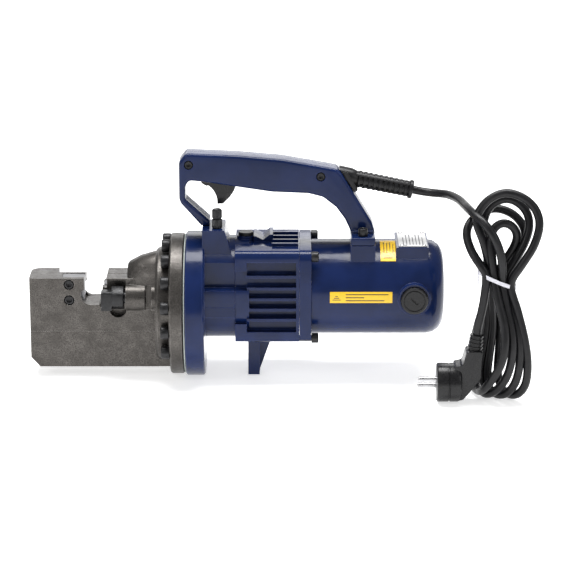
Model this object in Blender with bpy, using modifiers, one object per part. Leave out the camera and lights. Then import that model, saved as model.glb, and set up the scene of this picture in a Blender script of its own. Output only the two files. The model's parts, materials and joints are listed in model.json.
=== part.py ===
"""Portable electro-hydraulic rebar cutter, modelled in Blender 4.5.

The tool stands on its head flange and its foot. X runs from the cutting head (-X) to the motor (+X),
the stopper is on the -Y side and Z is up. The origin is on the floor under the middle of the tool.
All sizes below are millimetres; the helpers turn them into metres as they make a mesh.
"""

from math import cos, pi, radians, sin, tan

import bmesh
import bpy
from mathutils import Matrix, Vector

MM = 0.001
GAP = 0.3                      # room between touching pieces
MERGE = 0.00001                # merge distance, in metres

# --- driving dimensions, millimetres -------------------------------------------------------------
LENGTH = 411.3
LEFT = -LENGTH / 2
RIGHT = LENGTH / 2

# cutting head
HEAD_HALF = 20.0               # half thickness of the head block
HEAD_TOP = 101.7
HEAD_BOTTOM = 9.8
HEAD_RIGHT = -77.9
CREASE_Z = 47.0                # the lower part of the block is a little thinner
CREASE_DEPTH = 1.6
THROAT_Z = 74.4                # floor of the jaw
POST_X = -151.0                # working face of the left post
JAW_WALL_X = -133.5            # right side of the jaw
RAM_POST_X = -129.0            # left side of the ram-side post
RAM_Z = 80.0
PISTON_R = 20.0
ROD_R = 12.0
EXTENSION_HALF = 18.0          # half thickness of the block's foot, which runs on to the flange
EXTENSION_TOP = 60.0
HUB_LOW = 72.0                 # the hub swells out of the block above this height
BLADE_LOW = 75.0
BLADE_HIGH = 91.0

# head flange and pump case
FLANGE_Z = 70.8
NECK_R = 56.3
HEAD_FLANGE = (-65.4, -51.4)
GASKET = (-51.1, -50.1)
CASE_FLANGE = (-49.8, -31.0)
HEAD_FLANGE_R = 70.5
CASE_FLANGE_R = 72.25
BOLT_CIRCLE_R = 63.5
BOLT_COUNT = 12
BOLT_STEP = 22.5               # degrees; the bottom of the circle has none
CASE_Z = 89.0
CASE_R = 51.0
CASE_RIGHT = -1.0
SHELF_Z = 97.5                 # above it the body steps in on both sides
SHELF_HALF = 38.0

# stopper
STOPPER_Y = -23.0
STOPPER_Z = 83.0
BOSS_R = 13.0

# gear housing and motor
GEARBOX = (-0.7, 62.5)
COVER = (62.8, 74.2)
BOX_HALF = 48.0
BOX_LOW = 43.0
BOX_HIGH = 136.0
FIN_ZS = (67.0, 77.4, 87.9, 98.9, 111.0)
RECESS_X = (11.0, 59.5)
RECESS_Z = (54.4, 125.5)
TOP_FIN_YS = (-25.0, -10.0, 5.0, 20.0)
TOP_FIN_HIGH = 139.5
BOSS_HIGH = 62.8               # top of the two lower front corners
EAR_LOW = 117.0                # underside of the two upper front corners
FIN_ROOT = 38.5                # half width between the bottoms of the side slots
FRONT_R = 50.4                 # the round front end
OIL_PLUG_X = 9.6
OIL_BOSS_TOP = 141.5
FOOT_X = (11.5, 23.0)
MOTOR_Z = 88.5
MOTOR_R = 47.3
MOTOR_WALL = 3.6
MOTOR_LEFT = 74.5
BRUSH_X = 175.5
BRUSH_Z = 88.0
COVER_BOLT_Y = 42.0
COVER_BOLT_Z = 41.5

# gears
PINION_TEETH = 12
DRIVE_TEETH = 36
GEAR_MODULE = 1.0
DRIVE_Z = MOTOR_Z + GEAR_MODULE * (PINION_TEETH + DRIVE_TEETH) / 2
ECCENTRICITY = 2.0

# handle
HANDLE_HALF = 13.0
HANDLE_FOOT_HALF = 33.0
HANDLE_FOOT_X = (113.2, 137.2)
HANDLE_FOOT_Z = (138.6, 146.4)
LUG_TOP = HANDLE_FOOT_Z[0] - GAP
TRIGGER_PIVOT = (-3.0, 199.0)
SCREWS_XZ = ((-46.4, 215.3), (83.7, 203.5))

# cord
CORD_R = 4.15
BOOT_END = Vector((174.7, 0.0, 187.5))
BOOT_TILT = radians(11.5)
PLUG_Y = -98.0
PLUG_Z = 19.3
PLUG_R = 19.0
PLUG_GRIP_HALF = 11.5

# --- scene ---------------------------------------------------------------------------------------


def clear_scene():
    for item in list(bpy.data.objects):
        bpy.data.objects.remove(item, do_unlink=True)


def make_collection(name):
    collection = bpy.data.collections.new(name)
    bpy.context.scene.collection.children.link(collection)
    return collection


clear_scene()
PARTS = make_collection("rebar_cutter")
CUTTERS = make_collection("cutters")


def material(name, colour, roughness, metallic):
    made = bpy.data.materials.new(name)
    made.use_nodes = True
    shader = made.node_tree.nodes["Principled BSDF"]
    shader.inputs["Base Color"].default_value = (*colour, 1.0)
    shader.inputs["Roughness"].default_value = roughness
    shader.inputs["Metallic"].default_value = metallic
    made.diffuse_color = (*colour, 1.0)
    return made


CAST = material("cast_steel", (0.16, 0.15, 0.14), 0.5, 0.8)
NAVY = material("navy_enamel", (0.008, 0.014, 0.095), 0.25, 0.0)
STEEL = material("bright_steel", (0.55, 0.55, 0.56), 0.3, 1.0)
TOOL_STEEL = material("tool_steel", (0.22, 0.22, 0.23), 0.35, 1.0)
BLACK_STEEL = material("black_steel", (0.03, 0.03, 0.032), 0.4, 0.7)
COPPER = material("copper", (0.6, 0.25, 0.12), 0.35, 1.0)
RUBBER = material("black_rubber", (0.02, 0.02, 0.022), 0.6, 0.0)
PLASTIC = material("black_plastic", (0.022, 0.022, 0.025), 0.4, 0.0)
PAPER = material("white_plate", (0.75, 0.75, 0.74), 0.4, 0.0)
FIBRE = material("gasket_fibre", (0.5, 0.5, 0.46), 0.8, 0.0)

# --- mesh helpers --------------------------------------------------------------------------------


def to_mesh(name, work):
    bmesh.ops.recalc_face_normals(work, faces=work.faces)
    mesh = bpy.data.meshes.new(name)
    work.to_mesh(mesh)
    work.free()
    return mesh


def box(low, high, turn=None, about=None):
    """A box between two corners, turned about a point when turn is given."""
    low, high = Vector(low) * MM, Vector(high) * MM
    work = bmesh.new()
    place = Matrix.Translation((low + high) / 2) @ Matrix.Diagonal((*(high - low), 1.0))
    bmesh.ops.create_cube(work, size=1.0, matrix=place)
    if turn is not None:
        bmesh.ops.rotate(work, verts=work.verts, cent=Vector(about) * MM, matrix=turn)
    return to_mesh("box", work)


def boxes(corners):
    """Several boxes that don't touch, in one mesh."""
    work = bmesh.new()
    for low, high in corners:
        low, high = Vector(low) * MM, Vector(high) * MM
        place = Matrix.Translation((low + high) / 2) @ Matrix.Diagonal((*(high - low), 1.0))
        bmesh.ops.create_cube(work, size=1.0, matrix=place)
    return to_mesh("boxes", work)


def rod(start, end, radius, steps=24, end_radius=None):
    """A cylinder, or a cone, from one point to another."""
    start, end = Vector(start) * MM, Vector(end) * MM
    along = end - start
    turn = Vector((0, 0, 1)).rotation_difference(along).to_matrix().to_4x4()
    place = Matrix.Translation((start + end) / 2) @ turn
    far = radius if end_radius is None else end_radius
    work = bmesh.new()
    bmesh.ops.create_cone(work, cap_ends=True, segments=steps, radius1=radius * MM,
                          radius2=far * MM, depth=along.length, matrix=place)
    return to_mesh("rod", work)


def fan(centre, radius, from_deg, to_deg, count):
    """Points along an arc."""
    angles = (radians(from_deg + (to_deg - from_deg) * i / count) for i in range(count + 1))
    return [(centre[0] + radius * cos(a), centre[1] + radius * sin(a)) for a in angles]


def rounded(corners, count=4):
    """An outline from (x, z, r) corners, each rounded with radius r."""
    outline = []
    for i, (x, z, r) in enumerate(corners):
        here = Vector((x, z))
        if r == 0:
            outline.append((x, z))
            continue
        before = (Vector(corners[i - 1][:2]) - here).normalized()
        after = (Vector(corners[(i + 1) % len(corners)][:2]) - here).normalized()
        half = before.angle(after) / 2
        middle = here + (before + after).normalized() * (r / sin(half))
        first = here + before * (r / tan(half))
        last = here + after * (r / tan(half))
        turn = (first - middle).angle_signed(last - middle)
        for k in range(count + 1):
            spoke = (first - middle).copy()
            spoke.rotate(Matrix.Rotation(-turn * k / count, 2))
            outline.append(tuple(middle + spoke))
    return outline


def flat_outline(outline, depth):
    """A closed 2D outline with a thickness, as a mesh about z = 0."""
    curve = bpy.data.curves.new("outline", "CURVE")
    curve.dimensions = "2D"
    curve.fill_mode = "BOTH"
    curve.extrude = depth * MM / 2
    spline = curve.splines.new("POLY")
    spline.points.add(len(outline) - 1)
    for point, (u, v) in zip(spline.points, outline):
        point.co = (u * MM, v * MM, 0.0, 1.0)
    spline.use_cyclic_u = True
    holder = bpy.data.objects.new("outline", curve)
    CUTTERS.objects.link(holder)
    bpy.context.view_layer.update()
    ready = holder.evaluated_get(bpy.context.evaluated_depsgraph_get())
    work = bmesh.new()
    work.from_mesh(bpy.data.meshes.new_from_object(ready))
    bpy.data.objects.remove(holder, do_unlink=True)
    bpy.data.curves.remove(curve)
    bmesh.ops.remove_doubles(work, verts=work.verts, dist=MERGE)
    return work


def extruded_y(outline, near, far):
    """An XZ outline between two Y planes."""
    work = flat_outline(outline, far - near)
    bmesh.ops.rotate(work, verts=work.verts, matrix=Matrix.Rotation(pi / 2, 3, "X"))
    bmesh.ops.translate(work, verts=work.verts, vec=(0, (near + far) / 2 * MM, 0))
    return to_mesh("extruded", work)


def extruded_x(outline, low, high):
    """A YZ outline between two X planes."""
    work = flat_outline(outline, high - low)
    turn = Matrix(((0, 0, 1), (1, 0, 0), (0, 1, 0)))
    bmesh.ops.rotate(work, verts=work.verts, matrix=turn)
    bmesh.ops.translate(work, verts=work.verts, vec=((low + high) / 2 * MM, 0, 0))
    return to_mesh("extruded", work)


def extruded_z(outline, low, high):
    """An XY outline between two Z planes."""
    work = flat_outline(outline, high - low)
    bmesh.ops.translate(work, verts=work.verts, vec=(0, 0, (low + high) / 2 * MM))
    return to_mesh("extruded", work)


def circle(centre, radius, count, start=0.0):
    return [(centre[0] + radius * cos(start + 2 * pi * i / count),
             centre[1] + radius * sin(start + 2 * pi * i / count)) for i in range(count)]


def turned(name, origin, along, profile, steps, finish, ring=False, squash=None):
    """A turned piece: (radius, distance along) pairs, from the far end down to the near one.

    A ring's profile closes on itself; any other one starts and ends on the axis.
    """
    mesh = bpy.data.meshes.new(name)
    points = [(r * MM, 0.0, d * MM) for r, d in profile]
    edges = [(i, i + 1) for i in range(len(points) - 1)]
    if ring:
        edges.append((len(points) - 1, 0))
    mesh.from_pydata(points, edges, [])
    item = bpy.data.objects.new(name, mesh)
    item.location = Vector(origin) * MM
    item.rotation_mode = "QUATERNION"
    item.rotation_quaternion = Vector((0, 0, 1)).rotation_difference(Vector(along))
    if squash:
        item.scale = squash
    screw = item.modifiers.new("turn", "SCREW")
    screw.steps = steps
    screw.render_steps = steps
    screw.use_merge_vertices = True
    screw.merge_threshold = MERGE
    screw.use_smooth_shade = False
    mesh.materials.append(finish)
    return item


def solid(name, mesh, finish):
    """A named sub-part from a finished mesh."""
    item = bpy.data.objects.new(name, mesh)
    mesh.name = name
    mesh.materials.append(finish)
    PARTS.objects.link(item)
    return item


def add_turned(*arguments, **options):
    item = turned(*arguments, **options)
    PARTS.objects.link(item)
    return item


def tool(item):
    """Turn an object, or a mesh, into a hidden boolean operand."""
    if isinstance(item, bpy.types.Mesh):
        item = bpy.data.objects.new("tool", item)
    CUTTERS.objects.link(item)
    item.hide_render = True
    item.display_type = "WIRE"
    return item


def combine(item, operation, *others):
    for other in others:
        step = item.modifiers.new(operation.lower(), "BOOLEAN")
        step.operation = operation
        step.solver = "EXACT"
        step.object = tool(other)
    return item


def cut(item, *others):
    return combine(item, "DIFFERENCE", *others)


def join(item, *others):
    return combine(item, "UNION", *others)


def bevel(item, width, segments=2, angle=35):
    step = item.modifiers.new("bevel", "BEVEL")
    step.width = width * MM
    step.segments = segments
    step.limit_method = "ANGLE"
    step.angle_limit = radians(angle)
    return item


def wire(name, points, radius, finish, resolution=2):
    """A round wire along points, as a curve with filled caps."""
    curve = bpy.data.curves.new(name, "CURVE")
    curve.dimensions = "3D"
    curve.bevel_depth = radius * MM
    curve.bevel_resolution = resolution
    curve.use_fill_caps = True
    spline = curve.splines.new("POLY")
    spline.points.add(len(points) - 1)
    for point, place in zip(spline.points, points):
        point.co = (*(Vector(place) * MM), 1.0)
    item = bpy.data.objects.new(name, curve)
    curve.materials.append(finish)
    PARTS.objects.link(item)
    return item


def smooth_route(points, count):
    """Points at an even spacing along a smooth curve through the given ones."""
    knots = [Vector(p) for p in points]
    padded = [2 * knots[0] - knots[1]] + knots + [2 * knots[-1] - knots[-2]]
    fine = []
    for a, b, c, d in zip(padded, padded[1:], padded[2:], padded[3:]):
        for i in range(20):
            t = i / 20
            fine.append(0.5 * (2 * b + (c - a) * t + (2 * a - 5 * b + 4 * c - d) * t * t
                               + (3 * b - a - 3 * c + d) * t ** 3))
    fine.append(knots[-1])
    lengths = [0.0]
    for a, b in zip(fine, fine[1:]):
        lengths.append(lengths[-1] + (b - a).length)
    route = []
    k = 0
    for i in range(count):
        want = lengths[-1] * i / (count - 1)
        while k < len(fine) - 2 and lengths[k + 1] < want:
            k += 1
        share = (want - lengths[k]) / (lengths[k + 1] - lengths[k])
        route.append(fine[k].lerp(fine[k + 1], share))
    return route


def loft(sections):
    """A closed solid through rings that all have the same number of points."""
    work = bmesh.new()
    rings = [[work.verts.new(Vector(p) * MM) for p in ring] for ring in sections]
    count = len(rings[0])
    for lower, upper in zip(rings, rings[1:]):
        for i in range(count):
            j = (i + 1) % count
            work.faces.new((lower[i], lower[j], upper[j], upper[i]))
    work.faces.new(rings[0])
    work.faces.new(rings[-1])
    return to_mesh("loft", work)


def oval(centre, half_x, half_y, count=16, power=0.8):
    """A flat ring between an ellipse and a rectangle."""
    ring = []
    for i in range(count):
        a = 2 * pi * i / count
        x = abs(cos(a)) ** power * (1 if cos(a) >= 0 else -1)
        y = abs(sin(a)) ** power * (1 if sin(a) >= 0 else -1)
        ring.append((centre[0] + half_x * x, centre[1] + half_y * y, centre[2]))
    return ring


def socket(item, top, along, across, depth):
    """A hexagon socket in the end of a screw."""
    end = Vector(top) - Vector(along) * depth
    cut(item, rod(Vector(top) + Vector(along), end, across / 2 / cos(pi / 6), steps=6))
    return item


def cap_screw(name, seat, along, head_r, head_high, shank_r, shank_long, steps=12):
    """A cap screw whose head stands on seat and whose shank runs the other way."""
    profile = [(0, head_high), (head_r, head_high), (head_r, 0), (shank_r, 0), (shank_r, -shank_long),
               (0, -shank_long)]
    item = add_turned(name, seat, along, profile, steps, BLACK_STEEL)
    top = Vector(seat) + Vector(along) * head_high
    return socket(item, top, along, head_r * 0.95, head_high * 0.5)


def pivot(name, place):
    """An empty on a joint's axis, which carries the moving pieces."""
    empty = bpy.data.objects.new(name, None)
    empty.location = Vector(place) * MM
    empty.empty_display_size = 0.02
    PARTS.objects.link(empty)
    return empty


def carry(empty, *items):
    for item in items:
        item.parent = empty
        item.matrix_parent_inverse = Matrix.Translation(-empty.location)


# --- cutting head --------------------------------------------------------------------------------


def head_outline():
    """The block from the side: two posts with the U-shaped jaw between them."""
    throat = fan((-144.4, THROAT_Z + 9.6), 9.6, 180, 270, 6)
    return [(LEFT, 19.8), (LEFT, HEAD_TOP), (POST_X, HEAD_TOP), (POST_X, 90.0), (-154.0, 88.0),
            *throat, (-137.0, THROAT_Z), (JAW_WALL_X, 77.0), (JAW_WALL_X, 90.0), (RAM_POST_X, 90.0),
            (RAM_POST_X, HEAD_TOP), (-65.0, HEAD_TOP), (-65.0, HEAD_BOTTOM), (-196.6, HEAD_BOTTOM)]


def cutter_head():
    block = extruded_y(head_outline(), -HEAD_HALF, HEAD_HALF)
    head = solid("cutter_head", block, CAST)
    plan = rounded([(LEFT, -HEAD_HALF, 3), (-60, -HEAD_HALF, 0), (-60, HEAD_HALF, 0),
                    (LEFT, HEAD_HALF, 10)])
    combine(head, "INTERSECT", extruded_z(plan, 0, 110))
    thinner = HEAD_HALF - CREASE_DEPTH
    trimmed = boxes([((LEFT - 2, -HEAD_HALF - 2, 0), (HEAD_RIGHT, -thinner, CREASE_Z)),
                     ((LEFT - 2, thinner, 0), (HEAD_RIGHT, HEAD_HALF + 2, CREASE_Z)),
                     ((-178, 4.3, 97.2), (POST_X + 1, HEAD_HALF + 2, 104))])
    cut(head, trimmed)
    cut(head, box((HEAD_RIGHT, -30, EXTENSION_TOP), (-60, 30, 120)))
    cut(head, boxes([((HEAD_RIGHT, -30, 0), (-60, -EXTENSION_HALF, EXTENSION_TOP + 1)),
                     ((HEAD_RIGHT, EXTENSION_HALF, 0), (-60, 30, EXTENSION_TOP + 1))]))
    hub_profile = [(0, 29), (54.5, 29), (49.7, 12), (43.5, 0.5), (41, -1.2), (0, -1.2)]
    hub = turned("hub", (-107, 0, FLANGE_Z), (1, 0, 0), hub_profile, 28, CAST, squash=(1, 0.6, 1))
    cut(hub, box((-125, -60, 0), (-70, 60, HUB_LOW)))
    neck = turned("neck", (0, 0, FLANGE_Z), (1, 0, 0),
                  [(0, HEAD_FLANGE[1]), (HEAD_FLANGE_R - 1.5, HEAD_FLANGE[1]),
                   (HEAD_FLANGE_R, HEAD_FLANGE[1] - 1.5), (HEAD_FLANGE_R, HEAD_FLANGE[0] + 1.5),
                   (HEAD_FLANGE_R - 1.5, HEAD_FLANGE[0]), (NECK_R, HEAD_FLANGE[0]), (NECK_R, -77),
                   (NECK_R - 2, -79.5), (0, -79.5)], 40, CAST)
    cut(neck, bolt_holes(HEAD_FLANGE[0] - 1, HEAD_FLANGE[1] + 1, 4.4))
    boss = rod((-109.6, STOPPER_Y, STOPPER_Z), (-79, STOPPER_Y, STOPPER_Z), BOSS_R, steps=28)
    join(head, hub, neck, boss)
    pocket = [(-135.2, 99.8), (-135.2, 72.2), (-126.1, 72.2),
              *fan((-117.7, 69.8), 8.4, 180, 360, 8), (-109.3, 99.8)]
    cut(head, extruded_y(pocket, -40, -10.6))
    cut(head, box((-90.2, -45, 69.5), (-83.8, STOPPER_Y + 0.5, 96.5)))
    grooves = [((-131, y - 0.8, HEAD_TOP - 1.6), (-108, y + 0.8, HEAD_TOP + 2)) for y in (-1.5, 14.5)]
    cut(head, boxes(grooves))
    cut(head, rod((-120, STOPPER_Y, STOPPER_Z), (-90, STOPPER_Y, STOPPER_Z), 6.3))
    cut(head, rod((-45, 0, RAM_Z), (-92, 0, RAM_Z), PISTON_R + 0.5, steps=28))
    cut(head, rod((-90, 0, RAM_Z), (-111.3, 0, RAM_Z), ROD_R + GAP))
    window = ((-136, -1.4, BLADE_LOW - GAP), (-89, 15.2, BLADE_HIGH + 1.0))
    fixed_pocket = ((-173.3, -14.3, BLADE_LOW - GAP), (-149.5, 0.1, 104))
    cut(head, box(*window), box(*fixed_pocket))
    cut(head, box((-156, 0, THROAT_Z), (-143, 15.2, 93)))
    for z in (79.2, 95.3):
        cut(head, rod((-166, -25, z), (-166, -15.6, z), 5.3), rod((-166, -16, z), (-166, -13, z), 2.8))
    return head


def bolt_places():
    """Y and Z of the flange bolts, spread evenly to both sides of the top of the circle."""
    angles = (radians(BOLT_STEP * (i + 0.5 - BOLT_COUNT / 2)) for i in range(BOLT_COUNT))
    return [(BOLT_CIRCLE_R * sin(a), FLANGE_Z + BOLT_CIRCLE_R * cos(a)) for a in angles]


def bolt_holes(low, high, radius):
    """Cutters for the round of flange bolts, as one mesh."""
    work = bmesh.new()
    for y, z in bolt_places():
        work.from_mesh(rod((low, y, z), (high, y, z), radius, steps=8))
    return to_mesh("bolt_holes", work)


def blades():
    fixed = solid("fixed_blade", box((-173.0, -14.0, BLADE_LOW), (POST_X, -0.2, 101.2)), TOOL_STEEL)
    for z in (79.2, 95.3):
        cut(fixed, rod((-166, -15, z), (-166, -7, z), 2.8))
    for label, z in (("lower", 79.2), ("upper", 95.3)):
        cap_screw(f"fixed_blade_screw_{label}", (-166, -15.9, z), (0, -1, 0), 4.9, 4.1, 2.5, 8.0)
    return fixed


def ram():
    front = -91.0
    profile = [(0, -52.0), (PISTON_R - 1, -52.0), (PISTON_R - 1, -56.5), (17.0, -56.7), (17.0, -60.3),
               (PISTON_R - 0.3, -60.5), (PISTON_R - 0.3, -64.0), (ROD_R, -64.0), (ROD_R, front),
               (0, front)]
    item = add_turned("ram", (0, 0, RAM_Z), (1, 0, 0), profile, 24, STEEL)
    join(item, box((-112.0, -1.0, BLADE_LOW), (front + 0.5, 12.0, 90.0)))
    blade = solid("moving_blade", box((-132.5, 0.2, BLADE_LOW + 0.2), (-112.3, 14.2, BLADE_HIGH)),
                  TOOL_STEEL)
    bevel(blade, 0.8, segments=1)
    seal = add_turned("ram_seal", (0, 0, RAM_Z), (1, 0, 0),
                      [(20.0, -57.1), (20.0, -59.9), (17.3, -59.9), (17.4, -57.1)], 24, RUBBER, ring=True)
    coils = 2.5
    turns = [(-88.4 + 22.2 * i / 30, 15.6 * cos(2 * pi * coils * i / 30),
              RAM_Z + 15.6 * sin(2 * pi * coils * i / 30)) for i in range(31)]
    wire("ram_return_spring", turns, 1.5, STEEL)
    carry(pivot("ram_axis", (-91, 0, RAM_Z)), item, blade, seal)


def stopper():
    axis = (0, STOPPER_Y, STOPPER_Z)
    hexagon = [(STOPPER_Y + u, STOPPER_Z + v) for u, v in circle((0, 0), 12.0, 6, start=pi / 6)]
    screw = solid("stopper_screw", extruded_x(hexagon, -123.6, -111.4), BLACK_STEEL)
    bevel(screw, 0.8, segments=1)
    join(screw, rod((-112.6, *axis[1:]), (-92.0, *axis[1:]), 6.0))
    pad_outline = rounded([(-33.5, 71.5, 2), (-20.4, 71.5, 2), (-20.4, 91.0, 2), (-33.5, 91.0, 2)])
    join(screw, extruded_x(pad_outline, JAW_WALL_X, -123.1))
    carry(pivot("stopper_axis", (-123.6, STOPPER_Y, STOPPER_Z)), screw)


def head_bolts():
    for number, (y, z) in enumerate(bolt_places(), start=1):
        cap_screw(f"head_bolt_{number:02d}", (HEAD_FLANGE[0] - GAP, y, z), (-1, 0, 0), 6.4, 8.0, 4.0, 28.0)


def gasket():
    item = add_turned("flange_gasket", (0, 0, FLANGE_Z), (1, 0, 0),
                      [(70, GASKET[1]), (70, GASKET[0]), (52, GASKET[0]), (52, GASKET[1])], 36, FIBRE,
                      ring=True)
    cut(item, bolt_holes(GASKET[0] - 1, GASKET[1] + 1, 4.6))


# --- pump case -----------------------------------------------------------------------------------


def shelves(low, high):
    """Cutters for the two sides above the shelf, between two X planes."""
    return boxes([((low, -60, SHELF_Z), (high, -SHELF_HALF, 142)),
                  ((low, SHELF_HALF, SHELF_Z), (high, 60, 142))])


def pump_case():
    rim = CASE_FLANGE_R
    left, right = CASE_FLANGE
    profile = [(0, right), (rim - 1.5, right), (rim, right - 1.5), (rim, left + 1), (rim - 1, left),
               (0, left)]
    case = add_turned("pump_case", (0, 0, FLANGE_Z), (1, 0, 0), profile, 44, NAVY)
    body = rod((right - 5, 0, CASE_Z), (CASE_RIGHT, 0, CASE_Z), CASE_R, steps=40)
    block = extruded_y([(-33.1, 120), (-33.1, 153.5), (-11.0, 153.5), (-4.0, 128), (-4.0, 120)], -31, 14)
    ledge = box((right - 2, -50.5, 70), (CASE_RIGHT, -30, 80.5))
    join(case, body, block, ledge)
    cut(case, box((-60, -90, -20), (0, 90, 0)))
    cut(case, shelves(right + 0.2, 1))
    chamber = box((-27, -14, 99.0), (5, 14, 127.0))
    reservoir = box((-28, -30, 50), (5, 30, 78))
    cut(case, chamber, reservoir, rod((-60, 0, 86), (-16, 0, 86), 2.0, steps=12))
    cut(case, rod((-16, 0, 84), (-16, 0, 102), 4.3, steps=20))
    cut(case, rod((-18.5, -20.5, 140), (-18.5, -20.5, 160), 2.8, steps=16))
    cut(case, bolt_holes(left - 2, -36, 4.4))
    bladder = solid("oil_bladder", box((-26.5, -28, 52), (-3, 28, 76)), RUBBER)
    bevel(bladder, 4, segments=2)
    return case


def pump_plunger():
    item = add_turned("pump_plunger", (-16, 0, 0), (0, 0, 1),
                      [(0, 101.0), (3.4, 101.0), (4.0, 100.4), (4.0, 90.0), (0, 90.0)], 20, STEEL)
    carry(pivot("plunger_axis", (-16, 0, 95)), item)


def release_valve():
    place = (-18.5, -20.5, 0)
    nut = solid("release_valve_nut", rod((*place[:2], 153.8), (*place[:2], 163.2), 5.2, steps=6), BLACK_STEEL)
    cut(nut, rod((*place[:2], 150), (*place[:2], 166), 2.8, steps=16))
    profile = [(0, 173.2), (3.8, 173.2), (4.8, 172.2), (4.8, 164.6), (4.0, 163.6), (2.5, 163.6),
               (2.5, 142.0), (0, 142.0)]
    knob = add_turned("release_valve_knob", place, (0, 0, 1), profile, 20, BLACK_STEEL)
    carry(pivot("valve_axis", (*place[:2], 165)), knob)


def oil_plug():
    profile = [(0, 144.8), (7.0, 144.8), (7.7, 144.1), (7.7, OIL_BOSS_TOP + GAP), (3.2, OIL_BOSS_TOP + GAP),
               (3.2, 133.6), (0, 133.6)]
    add_turned("oil_plug", (OIL_PLUG_X, 0, 0), (0, 0, 1), profile, 20, BLACK_STEEL)


# --- gear housing --------------------------------------------------------------------------------


def square_outline(radius):
    corners = [(-BOX_HALF, BOX_LOW, radius), (BOX_HALF, BOX_LOW, radius),
               (BOX_HALF, BOX_HIGH, radius), (-BOX_HALF, BOX_HIGH, radius)]
    return rounded(corners)


def fin_slots():
    """The gaps between the side fins, on both sides."""
    half_fin = 1.25
    edges = [RECESS_Z[0], *[z + s * half_fin for z in FIN_ZS for s in (-1, 1)], RECESS_Z[1]]
    slots = []
    for low, high in zip(edges[::2], edges[1::2]):
        for inner, outer in ((-BOX_HALF - 2, -FIN_ROOT), (FIN_ROOT, BOX_HALF + 2)):
            slots.append(((RECESS_X[0] - 0.4, inner, low), (RECESS_X[1], outer, high)))
    return slots


def gear_housing():
    """A square finned box whose front end is round, like the pump case that it joins."""
    left, right = GEARBOX
    fins_left = RECESS_X[0]
    housing = solid("gear_housing", extruded_x(square_outline(7), left - 2, right), NAVY)
    open_sides = [((left - 4, -BOX_HALF - 2, BOSS_HIGH), (fins_left, -FIN_ROOT, EAR_LOW)),
                  ((left - 4, FIN_ROOT, BOSS_HIGH), (fins_left, BOX_HALF + 2, EAR_LOW))]
    cut(housing, boxes(fin_slots()))
    cut(housing, boxes(open_sides))
    front = turned("front", (0, 0, CASE_Z), (1, 0, 0),
                   [(0, fins_left + 2), (FRONT_R, fins_left + 2), (FRONT_R, left - 3), (0, left - 3)],
                   40, NAVY)
    cut(front, shelves(left - 5, fins_left + 3))
    saddle = extruded_y([(17.5, BOX_HIGH - 2), (17.5, 141.8), (19.5, 141.8), (26.5, 138.2), (33.5, 143.6),
                         (36.5, 143.6), (36.5, BOX_HIGH - 2)], -8, 21)
    oil_boss = rod((OIL_PLUG_X, 0, 130), (OIL_PLUG_X, 0, OIL_BOSS_TOP), 9.2)
    join(housing, front, saddle, oil_boss)
    cut(housing, box((left - 6, -70, -10), (left, 70, 160)))
    cut(housing, box((6, -33, 60), (right + 5, 33, 132.4)))
    for y in TOP_FIN_YS:
        join(housing, box((35.4, y - 1.6, BOX_HIGH - 2), (61.5, y + 1.6, TOP_FIN_HIGH)))
    leg = extruded_y([(FOOT_X[0], BOX_LOW + 3), (FOOT_X[0], 0), (FOOT_X[1], 0), (FOOT_X[1] + 0.5, 4),
                      (38.5, BOX_LOW + 3)], -4, 4)
    sole = box((FOOT_X[0], -14, 0), (FOOT_X[1], 14, BOX_LOW + 3))
    join(housing, leg, sole)
    cut(housing, rod((left - 2, 0, DRIVE_Z), (12, 0, DRIVE_Z), 6.3))
    cut(housing, rod((OIL_PLUG_X, 0, 133), (OIL_PLUG_X, 0, OIL_BOSS_TOP + 2), 3.5, steps=16))
    for y, z in cover_bolt_places():
        cut(housing, rod((50, y, z), (right + 2, y, z), 3.3, steps=16))
    return housing


def cover_bolt_places():
    return [(s * COVER_BOLT_Y, MOTOR_Z + t * COVER_BOLT_Z) for s in (-1, 1) for t in (-1, 1)]


def motor_cover():
    cover = solid("motor_cover", extruded_x(square_outline(9), *COVER), NAVY)
    cut(cover, rod((COVER[0] + 1.4, 0, MOTOR_Z), (COVER[1] + 1, 0, MOTOR_Z), 13.3, steps=28))
    cut(cover, rod((COVER[0] - 1, 0, MOTOR_Z), (COVER[0] + 3, 0, MOTOR_Z), 8, steps=20))
    cut(cover, rod((COVER[0] - 1, 0, DRIVE_Z), (COVER[0] + 5, 0, DRIVE_Z), 6.3, steps=20))
    for number, (y, z) in enumerate(cover_bolt_places(), start=1):
        cut(cover, rod((COVER[0] - 1, y, z), (COVER[1] + 1, y, z), 3.3, steps=16))
        cap_screw(f"motor_bolt_{number}", (COVER[1] + GAP, y, z), (1, 0, 0), 5.0, 7.0, 3.0, 20.0)


def gear_outline(teeth, centre, turn=0.0):
    """A spur gear's outline with straight-sided teeth."""
    pitch = GEAR_MODULE * teeth / 2
    outline = []
    for i in range(teeth):
        middle = turn + 2 * pi * i / teeth
        width = 2 * pi / teeth
        for share, radius in ((-0.36, pitch - 1.2), (-0.12, pitch + 0.85), (0.12, pitch + 0.85),
                              (0.36, pitch - 1.2)):
            a = middle + share * width
            outline.append((centre[0] + radius * cos(a), centre[1] + radius * sin(a)))
    return outline


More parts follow.
